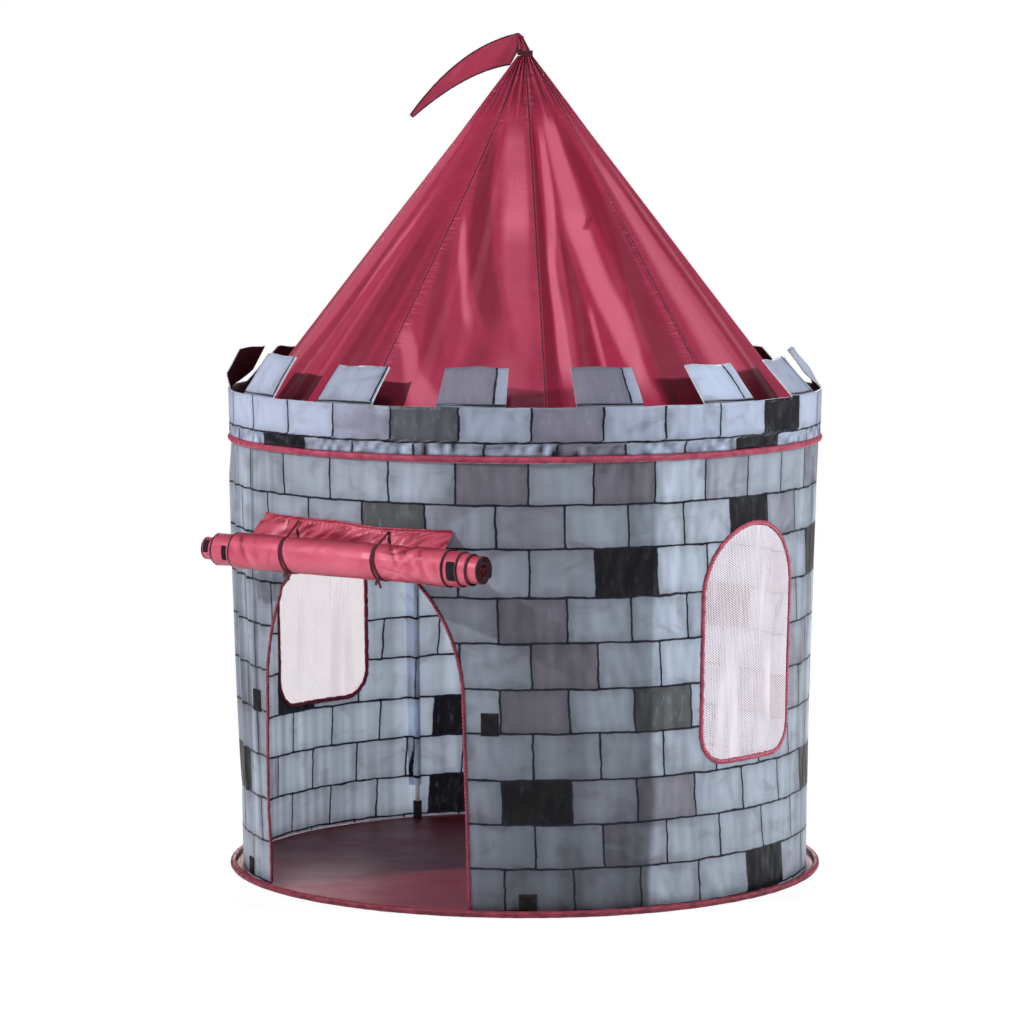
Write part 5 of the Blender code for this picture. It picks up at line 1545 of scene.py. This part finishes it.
def merlon_place(azimuth, point, along):
    """Lift a point of the rim up its merlon, which leans in, curls and may be twisted."""
    period = 360.0 / MERLON_COUNT
    half_degrees = 180.0 / STONE_COUNT
    order = round(azimuth / period)
    centre = order * period
    across = (azimuth - centre) / half_degrees
    inward = -outward(centre)
    lean, twist = MERLON_POSES.get(order % MERLON_COUNT, (MERLON_LEAN_DEGREES, 0.0))
    nod = math.radians(lean + MERLON_NOD_DEGREES * noise.noise(Vector((order * 7.3, 1.0, 2.0))))
    curl = math.radians(MERLON_CURL_DEGREES * noise.noise(Vector((order * 3.7, 8.0, across)))) * along
    tab = inward * math.sin(nod + curl) + UP * math.cos(nod + curl)
    normal = -inward * math.cos(nod) + UP * math.sin(nod)
    puff = (1 - across * across) * math.sin(math.pi * along) * MERLON_PUFF
    wrinkle = noise.noise(Vector((order * 5.0 + across * 1.6, along * 2.2, 3.0))) * MERLON_WRINKLE
    narrowing = across * MERLON_TAPER * along * HOOP_RADIUS * math.radians(half_degrees)
    slide = outward(centre + 90.0) * -narrowing
    raised = point + tab * (MERLON_LENGTH * along) + normal * (puff + wrinkle * along) + slide
    post = on_circle(centre, BAND_TOP_RADIUS, 0.0)
    turn = math.radians(twist) * min(1.0, MERLON_TWIST_RATE * along)
    return post + Matrix.Rotation(turn, 3, "Z") @ (raised - post)


def build_band(print_cloth, lining, edge_cloth):
    period = 360.0 / MERLON_COUNT
    wall_rows = STRIP_ROWS + BAND_ROWS
    rows = wall_rows + MERLON_ROWS
    stone_degrees = 360.0 / STONE_COUNT

    def azimuth_at(column):
        return (column - MERLON_COLUMNS / 2) * period / (2 * MERLON_COLUMNS)

    def place(column, row):
        azimuth = azimuth_at(column)
        if row <= STRIP_ROWS:
            height = BAND_BASE_HEIGHT + (STRIP_TOP_HEIGHT - BAND_BASE_HEIGHT) * row / STRIP_ROWS
        else:
            share = min((row - STRIP_ROWS) / BAND_ROWS, 1.0)
            height = STRIP_TOP_HEIGHT + (BAND_RIM_HEIGHT - STRIP_TOP_HEIGHT) * share
        rise = (height - BAND_BASE_HEIGHT) / (BAND_RIM_HEIGHT - BAND_BASE_HEIGHT)
        radius = BAND_FOOT_RADIUS + (BAND_TOP_RADIUS - BAND_FOOT_RADIUS) * rise
        swell = waves(BAND_SWELLS, azimuth, rise)
        if row < STRIP_ROWS:
            pucker = waves(STRIP_PUCKERS, azimuth, rise)
            radius += STRIP_PUCKER * pucker * math.sin(math.pi * row / STRIP_ROWS) - STRIP_SINK
        radius += BAND_SWELL * swell * rise + BAND_CRUMPLE * waves(BAND_CRUMPLES, azimuth, rise)
        point = on_circle(azimuth, radius, height + BAND_RISE * swell * rise)
        if row <= wall_rows:
            return point
        return merlon_place(azimuth, point, (row - wall_rows) / MERLON_ROWS)

    def spot(column, row):
        azimuth = azimuth_at(column)
        along = count_between(azimuth, BAND_JOINTS)
        if row <= STRIP_ROWS:
            start, shown = STRIP_PRINT
            return (along + STRIP_PRINT_SHIFT, STRIP_ROW + start + shown * row / STRIP_ROWS)
        if row <= wall_rows:
            start, shown = BAND_PRINT
            return (along, BAND_ROW + start + shown * (row - STRIP_ROWS) / BAND_ROWS)
        centre = round(azimuth / period)
        local = (azimuth - centre * period) / stone_degrees + 0.5
        joint = MERLON_JOINT_SHARES[0 if -3 < azimuth_gap(centre * period, 0.0) / period < 0.5 else 1]
        start, shown = MERLON_PRINT
        return (2 * centre + EVEN_ROW_SHIFT + local - joint + 1,
                MERLON_ROW + start + shown * (row - wall_rows) / MERLON_ROWS)

    def has_cell(column, row):
        return row < wall_rows or column % (2 * MERLON_COLUMNS) < MERLON_COLUMNS

    columns = 2 * MERLON_COLUMNS * MERLON_COUNT
    piece = grid_piece("battlement_cloth", columns, rows, place, spot, [print_cloth, lining, edge_cloth],
                       closed=True, has_cell=has_cell)
    # Painted light and shade of the band
    mark_painted_light(piece, [band_painted_light(vertex.co) for vertex in piece.data.vertices])
    thicken(piece, BAND_CLOTH, back=1, rim=2)
    dress(piece, "tent", ["battlement_band"])


# Roof


def seam_azimuth(index, share):
    return index * GORE_DEGREES + SEAM_TURNS[index % GORE_COUNT] * share ** 2.5


def neck_pleat(azimuth):
    turn = math.radians(azimuth)
    return math.sin(NECK_PLEATS * turn + 2.0 * math.sin(3 * turn))


def roof_point(azimuth, share, across):
    """A place on the roof; across runs from 0 to 1 over its gore."""
    height = EAVE_HEIGHT + (ROOF_NECK_HEIGHT - EAVE_HEIGHT) * share
    radius = EAVE_RADIUS + (ROOF_NECK_RADIUS - EAVE_RADIUS) * share
    radius -= GORE_SAG * math.sin(math.pi * across) ** 2 * math.sin(math.pi * share)
    room = min(1.0, EAVE_HOLD * share + EAVE_SHARE, NECK_HOLD * (1 - share))
    soft = room * min(1.0, max(radius, 0.0) / FOLD_FULL_RADIUS) ** FOLD_NARROW_POWER
    radius += fold_lift(ROOF_FOLDS, azimuth, share, FOLD_SPREAD_SHARE) * soft
    radius += ROOF_WAVE * waves(ROOF_WAVES, azimuth, share) * soft
    gathered = min(max((share - NECK_START_SHARE) / (1 - NECK_START_SHARE), 0.0), 1.0)
    radius += NECK_PLEAT_LIFT * gathered * (1 - NECK_PLEAT_FADE * gathered) * neck_pleat(azimuth)
    seam_gap = min(across, 1 - across) * math.radians(GORE_DEGREES) * radius
    radius += SEAM_LIFT * bell(seam_gap, SEAM_HALF_WIDTH) * room
    return on_circle(azimuth, max(radius, TUFT_NECK_RADIUS), height)


def roof_painted_light(azimuth, share):
    """Painted light and shade: the listed streaks in front, the same ones mirrored behind, and painted
    shade over the pleats at the neck with painted highlights on their crests.
    """
    warped = azimuth + waves(ROOF_WARPS, azimuth, share)
    places = (ROOF_STREAK_MIRROR - warped, warped)
    sides = [streak_painted_light(ROOF_PAINTED_STREAKS, place, share) for place in places]
    gathered = ease(share, *NECK_PAINTED_SHADE_SHARES)
    pleats = NECK_PAINTED_SHADE + PLEAT_PAINTED_HIGHLIGHT * max(0.0, neck_pleat(azimuth)) ** PLEAT_POWER
    return max(sides, key=abs) * (1 - gathered) + pleats * gathered


def build_roof(cloth):
    def eased(column):
        share = column / GORE_COLUMNS
        return share - GORE_EASE_SHARE * math.sin(2 * math.pi * share) / math.pi

    def spot(column, row):
        y = GORE_SLANT * row / GORE_ROWS
        return (eased(column) * (GORE_EAVE_WIDTH + GORE_TAPER * y), y)

    for index in range(GORE_COUNT):

        def azimuth_at(column, row, index=index):
            start = seam_azimuth(index, row / GORE_ROWS)
            end = seam_azimuth(index + 1, row / GORE_ROWS)
            return start + (end - start) * eased(column)

        def place(column, row):
            return roof_point(azimuth_at(column, row), row / GORE_ROWS, eased(column))

        number = str(index + 1)
        piece = grid_piece("roof_cloth_" + number, GORE_COLUMNS, GORE_ROWS, place, spot, [cloth])
        # Painted light and shade of the gore
        mark_painted_light(piece, [roof_painted_light(azimuth_at(column, row), row / GORE_ROWS)
                           for row in range(GORE_ROWS + 1) for column in range(GORE_COLUMNS + 1)])
        dress(piece, "tent", ["roof_gore_" + number])


# Tip


def build_tip(cloth, tape):
    """The gathered tuft and the tape wound round its foot."""
    lean = outward(PENNANT_AZIMUTH) * TUFT_LEAN
    taper_start, taper_length = TUFT_TAPER_SHARES
    fold_start, fold_length = TUFT_FOLD_SHARES
    neck_depth, more_depth = TUFT_PLEAT_DEPTHS

    def place(column, row):
        share = row / TUFT_ROWS
        turn = 2 * math.pi * column / TUFT_COLUMNS
        taper = min(1.0, max(0.0, (share - taper_start) / taper_length))
        flare = TUFT_NECK_RADIUS + (TUFT_TOP_RADIUS - TUFT_NECK_RADIUS) * taper
        pleat = math.sin(TUFT_PLEATS * turn + 1.3 * math.sin(2 * turn) + 0.8 * share)
        fold = max(0.0, share - fold_start) / fold_length
        depth = neck_depth + more_depth * share
        radius = flare * (1 + depth * (pleat - 0.7)) * (1 - TUFT_FOLD_DEPTH * fold * fold)
        height = TUFT_FOOT_HEIGHT + TUFT_HEIGHT * (share - TUFT_FOLD_DROP * fold * (1 + pleat))
        return Vector((radius * math.cos(turn), radius * math.sin(turn), height)) + lean * share

    def spot(column, row):
        width, height = TUFT_MAP
        return (width * column / TUFT_COLUMNS, height * row / TUFT_ROWS)

    piece = grid_piece("tuft_cloth", TUFT_COLUMNS, TUFT_ROWS, place, spot, [cloth], closed=True)
    thicken(piece, TUFT_CLOTH)
    dress(piece, "tent", ["apex_tuft"])

    path = []
    normals = []
    for step in range(TIE_STEPS * TIE_TURNS + 1):
        turn = 360.0 * step / TIE_STEPS
        lift = TIE_RADIUS * (2 * step / TIE_STEPS - TIE_START_SHARE)
        path.append(on_circle(turn, TIE_RING_RADIUS, TUFT_FOOT_HEIGHT + lift))
        normals.append(outward(turn))
    tie = sweep("cord_tie", path, normals, TIE_RADIUS, TIE_RADIUS, [tape], sides=TIE_SIDES)
    dress(tie, "tent", ["apex_tie"])


def pennant_edge(start, control, end, share):
    return start * (1 - share) ** 2 + control * (2 * share * (1 - share)) + end * share ** 2


def build_pennant(cloth, trim):
    span = Vector((PENNANT_LENGTH, -PENNANT_DROP))
    tip = PENNANT_UPPER_START + span
    corner = Vector((PENNANT_TIP_WIDTH / 2, PENNANT_TIP_WIDTH / 2))
    upper_control = PENNANT_UPPER_START + span * Vector(PENNANT_UPPER_SHARES)
    lower_control = PENNANT_LOWER_START + span * Vector(PENNANT_LOWER_SHARES)
    reach_axis = outward(PENNANT_AZIMUTH)
    wave_axis = outward(PENNANT_AZIMUTH + 90.0)

    def flat_place(share, up):
        upper = pennant_edge(PENNANT_UPPER_START, upper_control, tip + corner, share)
        lower = pennant_edge(PENNANT_LOWER_START, lower_control, tip - corner, share)
        bow = PENNANT_HOIST_BOW * math.sin(math.pi * up) * (1 - share) ** 8
        return lower.lerp(upper, up) - Vector((bow, 0.0))

    def at(share, up):
        flat = flat_place(share, up)
        ripple = noise.noise(Vector((share * 9.0, up * 1.6, 2.0))) * min(1.0, share * 6)
        wave = PENNANT_WAVE * math.sin(2 * math.pi * share) * share + PENNANT_RIPPLE * ripple
        return reach_axis * flat.x + wave_axis * wave + UP * flat.y

    def place(column, row):
        return at(column / PENNANT_COLUMNS, row / PENNANT_ROWS)

    def spot(column, row):
        flat = flat_place(column / PENNANT_COLUMNS, row / PENNANT_ROWS)
        return (flat.x, flat.y)

    piece = grid_piece("pennant_cloth", PENNANT_COLUMNS, PENNANT_ROWS, place, spot, [cloth])
    # Painted light over the whole pennant
    mark_painted_light(piece, [PENNANT_PAINTED_LIGHT] * len(piece.data.vertices))
    thicken(piece, PENNANT_CLOTH)
    dress(piece, "pennant", ["pennant"])

    shares = spread(0.0, 1.0, PENNANT_EDGE_STEP)
    loop = [at(share, 1.0) for share in shares] + [at(share, 0.0) for share in reversed(shares)]
    # Along the hoist the dark edge is painted shade: the dark pleat between the pennant and the tuft
    loop += [at(0.0, up) for up in PENNANT_HOIST_STEPS]
    edge = sweep("pennant_edge", loop, [wave_axis] * len(loop), PENNANT_EDGE_HALF_WIDTH,
                 PENNANT_EDGE_HALF_DEPTH, [trim], closed=True, sides=TIE_SIDES, pucker=0.3)
    dress(edge, "pennant")


# Rolled flap


def roll_centre():
    reach = wall_line(0.0, ROLL_HEIGHT / HOOP_HEIGHT) + WALL_CLOTH / 2 + ROLL_WALL_GAP + ROLL_RADIUS
    return Vector((0.0, -reach, ROLL_HEIGHT - ROLL_DROP))


def round_roll(reach, angle):
    """Out from the roll's centre line; its own weight has made the roll taller than deep."""
    return Vector((0.0, reach * math.cos(angle), ROLL_TALL_SHARE * reach * math.sin(angle)))


def header_ends(azimuth):
    height = HEADER_TOP_HEIGHT - HEADER_DROP * ease(azimuth, *HEADER_DROP_DEGREES)
    top = on_circle(azimuth, wall_outside(azimuth, height) + SEAM_GAP + FLAP_CLOTH / 2, height)
    reach = ROLL_RADIUS + SEAM_GAP + FLAP_CLOTH / 2
    foot = roll_centre() + round_roll(reach, math.radians(HEADER_REST_DEGREES)) + Vector((top.x, 0.0, 0.0))
    return top, foot


def build_header(cloth):
    """Puckered strip from the seam over the door down to the roll, with its hem standing up."""
    hem_lift, hem_ruffle, hem_stitch = HEADER_HEM_LIFTS

    def place(column, row):
        across = 2 * column / HEADER_COLUMNS - 1
        right = max(0.0, across) ** 3
        top, foot = header_ends(HEADER_HALF_DEGREES * across * (1 - HEADER_TRIM_SHARE * right))
        foot.x += HEADER_FLARE * right
        stitch = math.cos(2 * math.pi * top.x / HEADER_STITCH_PITCH)
        if row < HEADER_HEM_ROWS:
            ruffle = noise.noise(Vector((top.x * 70.0, 1.0, 0.0)))
            up = (HEADER_HEM_ROWS - row) / HEADER_HEM_ROWS
            lift = hem_lift + hem_ruffle * up * (1 + ruffle) + hem_stitch * stitch * (1 - up)
            out = Vector((top.x, top.y, 0.0)).normalized()
            rise = 1 + HEM_RUFFLE_SHARE * ruffle + HEM_STITCH_SHARE * stitch
            return top + UP * (HEADER_HEM * up * rise) + out * lift
        share = (row - HEADER_HEM_ROWS) / (HEADER_ROWS - HEADER_HEM_ROWS)
        slant = (foot - top).normalized()
        normal = Vector((0.0, slant.z, -slant.y))
        loose = math.sin(math.pi * share)
        fold = noise.noise(Vector((top.x * 42.0 + share * 1.4, share * 1.1, 3.0)))
        big = noise.noise(Vector((top.x * 13.0 - share * 0.8, share * 0.7, 8.0)))
        lift = loose * (HEADER_LIFT + HEADER_FOLD * fold + HEADER_BIG_FOLD * big)
        lift = max(lift + HEADER_PINCH * stitch * (1 - share) ** 2, HEADER_DEEPEST)
        hug = Vector((0.0, (foot.y - top.y) * (share ** HEADER_HUG_POWER - share), 0.0))
        return top.lerp(foot, share) + normal * lift - UP * (HEADER_SAG * loose * big) + hug

    def spot(column, row):
        width, height = HEADER_MAP
        return (width * column / HEADER_COLUMNS, height * row / HEADER_ROWS)

    # Painted highlight and shade of the puckers, over painted shade on the whole header
    def painted_light(column, row):
        across = place(column, row).x
        pucker = noise.noise(Vector((across * 95.0 + 0.5 * row, row * 0.22, 5.0)))
        return HEADER_PUCKER_PAINTED_LIGHT * pucker + HEADER_PAINTED_SHADE

    piece = grid_piece("header_cloth", HEADER_COLUMNS, HEADER_ROWS, place, spot, [cloth])
    mark_painted_light(piece, [painted_light(column, row)
                       for row in range(HEADER_ROWS + 1) for column in range(HEADER_COLUMNS + 1)])
    thicken(piece, FLAP_CLOTH)
    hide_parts("flap_header")
    top, foot = header_ends(0.0)
    tuple(top)
    tuple(foot)
    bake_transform(piece)


def roll_radius(turn, angle, x):
    """Radius of the spiral with the roll's dents and creases."""
    low, high = ROLL_FLARE_PLACES
    flare = max(ease(x, low, high), ROLL_LEFT_FLARE_SHARE * ease(-x, low, high))
    wound = turn - ROLL_FLARE_SHARE * flare * min(turn, ROLL_FLARE_TURNS)
    radius = ROLL_RADIUS - FLAP_CLOTH / 2 - ROLL_PITCH * wound
    depth, half_width = TIE_DENT
    dent = -depth * sum(bell(x - tie, half_width) for _name, tie in LOOP_TIE_PLACES)
    across, up = math.cos(angle), math.sin(angle)
    dent += ROLL_WAVE * noise.noise(Vector((x * 11.0, across, up)))
    rough = noise.noise(Vector((x * 34.0 + angle * 0.9, 2.2 * across, 2.2 * up + 6.0)))
    ridge = max(0.0, 1 - 2 * abs(rough) ** 0.7)
    dent += ROLL_RIDGE * rough - CRUSH_DEPTH * bell(x - CRUSH_PLACE, CRUSH_WIDTH) * ridge
    dent += ROLL_GRAIN * noise.noise(Vector((x * 60.0, 4.0 * across, 4.0 * up)))
    return radius + min(dent, ROLL_HIGHEST) * max(radius, 0.0) / ROLL_RADIUS


def roll_point(turn, x):
    angle = math.radians(HEADER_REST_DEGREES) + 2 * math.pi * turn
    return roll_centre() + round_roll(roll_radius(turn, angle, x), angle) + Vector((x, 0.0, 0.0))


def roll_ends(turn):
    for last_turn, low, high in ROLL_STEPS:
        if turn < last_turn:
            break
    return low, high


def roll_painted_light(turn, x):
    """Painted highlight along the front, painted shade along the top and the underside, and uneven painted
    light and shade where it is crushed.
    """
    angle = HEADER_REST_DEGREES + 360.0 * turn
    arc = math.radians(angle)
    front, top, under = (strength * bell(azimuth_gap(angle, middle), half_width)
                         for middle, half_width, strength in (ROLL_FRONT_HIGHLIGHT, ROLL_TOP_SHADE, ROLL_UNDER_SHADE))
    front *= 1 - ROLL_LEFT_LOSS_SHARE * bell(x - ROLL_LEFT_PLACE, ROLL_LEFT_WIDTH)
    crease = noise.noise(Vector((x * 62.0 + arc * 2.4, arc * 1.5, 4.0)))
    crease *= bell(x - CRUSH_PLACE, CRUSH_WIDTH)
    drift = noise.noise(Vector((x * 14.0, arc, 9.0)))
    painted_light = front + top + under + ROLL_DRIFT_PAINTED_LIGHT * drift + ROLL_CREASE_PAINTED_LIGHT * crease
    if turn < ROLL_OUTER_TURNS:
        painted_light += streak_painted_light(ROLL_PAINTED_CREASES, MILLIMETRES * x, (angle % 360.0 - 90.0) / 180.0)
    return painted_light


def build_roll(cloth, trim):
    columns = ROLL_TURNS * ROLL_TURN_STEPS
    rows = ROLL_LENGTH_STEPS

    def x_at(turn, row):
        low, high = roll_ends(turn)
        if row in (0, rows):
            return high if row else low
        share = (row - 1) / (rows - 2)
        return low + ROLL_EDGE + (high - low - 2 * ROLL_EDGE) * share

    def place(column, row):
        turn = column / ROLL_TURN_STEPS
        return roll_point(turn, x_at(turn, row))

    def spot(column, row):
        turn = column / ROLL_TURN_STEPS
        return (x_at(turn, row), turn * ROLL_MAP_PER_TURN)

    def slot_of(column, row):
        return 1 if row in (0, rows - 1) or column == columns - 1 else 0

    piece = grid_piece("flap_cloth", columns, rows, place, spot, [cloth, trim], slot_of=slot_of)
    turns = [column / ROLL_TURN_STEPS for column in range(columns + 1)]
    # Painted light and shade of the roll
    mark_painted_light(piece, [roll_painted_light(turn, x_at(turn, row)) for row in range(rows + 1) for turn in turns])
    thicken(piece, FLAP_CLOTH)
    dress(piece, "flap", ["flap_roll"])


def build_loop_ties(tape):
    """Each tie is two narrow tapes that part on their way down the front of the roll."""
    centre = roll_centre()

    def tie_tape(name, path, normals, nodes=()):
        piece = sweep(name, path, normals, LOOP_TIE_WIDTH / 2, LOOP_TIE_CLOTH / 2, [tape], sides=TIE_SIDES,
                      pucker=LOOP_PUCKER)
        dress(piece, "flap", nodes)

    for name, offset in LOOP_TIE_PLACES:
        top, foot = header_ends(math.degrees(math.asin(offset / HOOP_RADIUS)))
        start = top.lerp(foot, LOOP_START_SHARE) + Vector((-LOOP_LEAN, -LOOP_OUT, 0.0))
        for strand, part, nodes in (("", -1, ["flap_tie_" + name]), ("_strand", 1, [])):
            path = [start]
            normals = [Vector((0.0, -1.0, 0.3))]
            for step in range(LOOP_STEPS + 1):
                share = step / LOOP_STEPS
                angle = math.radians(LOOP_FIRST_DEGREES + (LOOP_LAST_DEGREES - LOOP_FIRST_DEGREES) * share)
                x = offset + (LOOP_SLIDE + LOOP_SPREAD * part) * min(1.0, LOOP_PART_SPEED * share)
                turn = (math.degrees(angle) - HEADER_REST_DEGREES) / 360.0
                reach = roll_radius(turn, angle, x) + LOOP_CLEARANCE
                path.append(centre + round_roll(reach, angle) + Vector((x, 0.0, 0.0)))
                normals.append(round_roll(1.0, angle))
            tie_tape("tie_" + name + strand, path, normals, nodes)

        knot = round_roll(ROLL_RADIUS + 2 * LOOP_CLEARANCE, math.radians(LOOP_KNOT_DEGREES))
        knot += centre + Vector((offset + LOOP_SLIDE, 0.0, TAIL_START))
        for number, (lean, drop) in enumerate(LOOP_TAILS, start=1):
            fall = Vector((lean, -TAIL_REACH, -drop))
            tail = [knot + fall * (step / TAIL_STEPS) for step in range(TAIL_STEPS + 1)]
            tie_tape("tie_tail_" + name + "_" + str(number), tail, [Vector((0.0, -1.0, 0.0))] * len(tail))


# Hook-and-loop pads


def soft_slab(name, cells, inner, normal_at, thickness, material):
    """A pad whose face is crowned and whose edges are rounded down to what it is sewn on."""
    columns, rows = cells

    def place(column, row):
        edge = min(column, columns - column, row, rows - row)
        rise = thickness * (PAD_RIM_SHARES[edge] if edge < len(PAD_RIM_SHARES) else 1.0)
        return inner(column / columns, row / rows) + normal_at(row / rows) * rise

    def spot(column, row):
        return (column * PAD_MAP_STEP, row * PAD_MAP_STEP)

    return grid_piece(name, columns, rows, place, spot, [material])


def build_pads(pile):
    for number, (azimuth, height, length) in enumerate(WALL_PADS, start=1):

        def inner(across, up, azimuth=azimuth, height=height, length=length):
            turn = azimuth + math.degrees((across - 0.5) * PAD_WIDTH / HOOP_RADIUS)
            level = height + (up - 0.5) * length
            return on_circle(turn, wall_outside(turn, level) - WALL_CLOTH / 4, level)

        def normal_at(up, azimuth=azimuth):
            return outward(azimuth)

        thickness = PAD_CLOTH + WALL_CLOTH / 2
        pad = soft_slab("grip_pad_" + str(number), WALL_PAD_CELLS, inner, normal_at, thickness, pile)
        dress(pad, "tent", ["wall_pad_" + str(number)])

    for name, middle, width, length, turns, nodes in FLAP_PADS:
        share = length / roll_radius(turns, 0.0, middle) / (2 * math.pi)

        def inner(across, up, middle=middle, width=width, turns=turns, share=share):
            return roll_point(turns + (up - 0.5) * share, middle + (across - 0.5) * width)

        def normal_at(up, turns=turns, share=share):
            turn = turns + (up - 0.5) * share
            return round_roll(1.0, math.radians(HEADER_REST_DEGREES) + 2 * math.pi * turn)

        pad = soft_slab("flap_grip_" + name, FLAP_PAD_CELLS, inner, normal_at, PAD_CLOTH, pile)
        dress(pad, "flap", nodes)


# Rigid nodes that stay


def colour_rigid_nodes():
    steel = moulded("steel_wire", STEEL, STEEL_PALE, (0.22, 0.42), 900.0, STEEL_LIFT, Metallic=1.0)
    rod = moulded("glass_rod", GLASS_ROD, GLASS_ROD_PALE, (0.28, 0.45), 700.0, ROD_LIFT,
                  streak=(1.0, 1.0, 0.04), Coat_Weight=0.3)
    plastic = moulded("black_moulding", MOULDING_BLACK, MOULDING_GREY, (0.38, 0.60), 1400.0, MOULDING_LIFT)
    kinds = (
        (("base_hoop", "top_hoop"), steel),
        (("wall_pole_", "roof_pole_"), rod),
        (("pole_elbow", "pole_foot", "apex_hub"), plastic),
    )
    for name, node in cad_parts.items():
        for starts, material in kinds:
            if name.startswith(starts) and not name.endswith("_sleeve"):
                for slot in node.material_slots:
                    slot.material = material


# Light and stage


def add_lamp(name, azimuth, elevation, distance, size, power, colour):
    data = bpy.data.lights.new(name, "AREA")
    data.shape = "DISK"
    data.size = size
    data.energy = power
    data.color = colour
    lamp = bpy.data.objects.new(name, data)
    rise = math.radians(elevation)
    target = Vector((0.0, 0.0, HOOP_HEIGHT))
    lamp.location = target + on_circle(azimuth, distance * math.cos(rise), distance * math.sin(rise))
    lamp.rotation_euler = (target - lamp.location).to_track_quat("-Z", "Y").to_euler()
    bpy.context.collection.objects.link(lamp)


def seen_share(tree):
    """1 for rays that the picture shows directly or through clear parts."""
    path = tree.nodes.new("ShaderNodeLightPath")
    node = tree.nodes.new("ShaderNodeMath")
    node.operation = "MAXIMUM"
    tree.links.new(path.outputs["Is Camera Ray"], node.inputs[0])
    tree.links.new(path.outputs["Is Transmission Ray"], node.inputs[1])
    return node.outputs[0]


def build_world():
    world = bpy.data.worlds.new("studio")
    bpy.context.scene.world = world
    world.use_nodes = True
    tree = world.node_tree
    ambient = tree.nodes["Background"]
    ambient.inputs["Color"].default_value = AMBIENT_COLOUR
    ambient.inputs["Strength"].default_value = AMBIENT_STRENGTH
    white = tree.nodes.new("ShaderNodeBackground")
    white.inputs["Color"].default_value = (*PLAIN_WHITE, 1.0)
    mix_shaders(tree, seen_share(tree), ambient, white, tree.nodes["World Output"].inputs["Surface"])


def build_floor_stage():
    """A grey floor that keeps the tent's shadow and is seen as white."""
    graph = Graph("studio_floor")
    length = graph.add("ShaderNodeVectorMath", operation="LENGTH")
    graph.feed(length.inputs[0], graph.add("ShaderNodeTexCoord").outputs["Object"])
    fade = graph.smooth(length.outputs["Value"], *STAGE_FADE, STAGE_NEAR_SHARE, 1.0)
    share = graph.times(fade, seen_share(graph.tree))
    graph.finish(STAGE_GREY, STAGE_ROUGHNESS)
    white = graph.add("ShaderNodeEmission")
    white.inputs["Strength"].default_value = 1.0
    mix_shaders(graph.tree, share, graph.shader, white, graph.surface)

    bm = bmesh.new()
    bmesh.ops.create_circle(bm, cap_ends=True, segments=STAGE_SIDES, radius=STAGE_RADIUS)
    mesh = bpy.data.meshes.new("studio_floor")
    bm.to_mesh(mesh)
    bm.free()
    mesh.materials.append(graph.material)
    floor = bpy.data.objects.new("studio_floor", mesh)
    floor.location.z = -STAGE_SINK
    bpy.context.collection.objects.link(floor)


def build_stage():
    build_world()
    build_floor_stage()
    for lamp in LAMPS:
        add_lamp(*lamp)
    bpy.context.scene.view_settings.view_transform = "Standard"


def main():
    add_camera()
    build_stage()
    print_cloth = printed_cloth("stone_print")
    satin = satin_cloth("burgundy_satin", BURGUNDY, BURGUNDY_DARK)
    roll_satin = satin_cloth("roll_satin", ROLL_PINK, BURGUNDY, translucent=0.06)
    roof_satin = satin_cloth("roof_satin", BURGUNDY, BURGUNDY_DARK, seams=True)
    floor_satin = satin_cloth("floor_satin", FLOOR_RED, BURGUNDY_DARK, translucent=0.0)
    # The tuft's satin is drawn darker: painted shade in the gathered cloth
    tuft_shade_satin = satin_cloth("tuft_painted_shade_satin", BURGUNDY_DARK, LINING, translucent=0.0)
    trim = binding_cloth("burgundy_binding", *TRIM_REDS)
    door_trim = binding_cloth("door_binding", *DOOR_TRIM_REDS)
    dark_trim = binding_cloth("dark_binding", *DARK_TRIM_REDS)
    lining = plain_cloth("dark_lining", LINING, LINING_PALE, scale=90.0, lift=LINING_LIFT)
    edge_cloth = plain_cloth("pale_edge", PALE_EDGE, EDGE_GREY)
    # A brighter copy of the print: painted light on the band
    band_cloth = printed_cloth("band_print", BAND_PAINTED_LIGHT_TINT)
    tape = plain_cloth("maroon_tape", MAROON_TAPE, LINING, scale=500.0)
    pile = plain_cloth("grip_pile", PAD_BLACK, PAD_BROWN, scale=900.0, lift=PILE_LIFT)
    net = net_cloth("window_net")

    build_floor(floor_satin)
    build_wall(print_cloth)
    build_openings(trim, door_trim, net)
    # The door's darker binding also serves the base sleeve as painted shade at the tent's foot
    build_sleeves(trim, door_trim)
    build_channels(print_cloth)
    build_band(band_cloth, lining, edge_cloth)
    build_roof(roof_satin)
    build_tip(tuft_shade_satin, tape)
    build_pennant(satin, dark_trim)
    build_header(roll_satin)
    build_roll(roll_satin, dark_trim)
    build_loop_ties(tape)
    build_pads(pile)
    colour_rigid_nodes()


main()
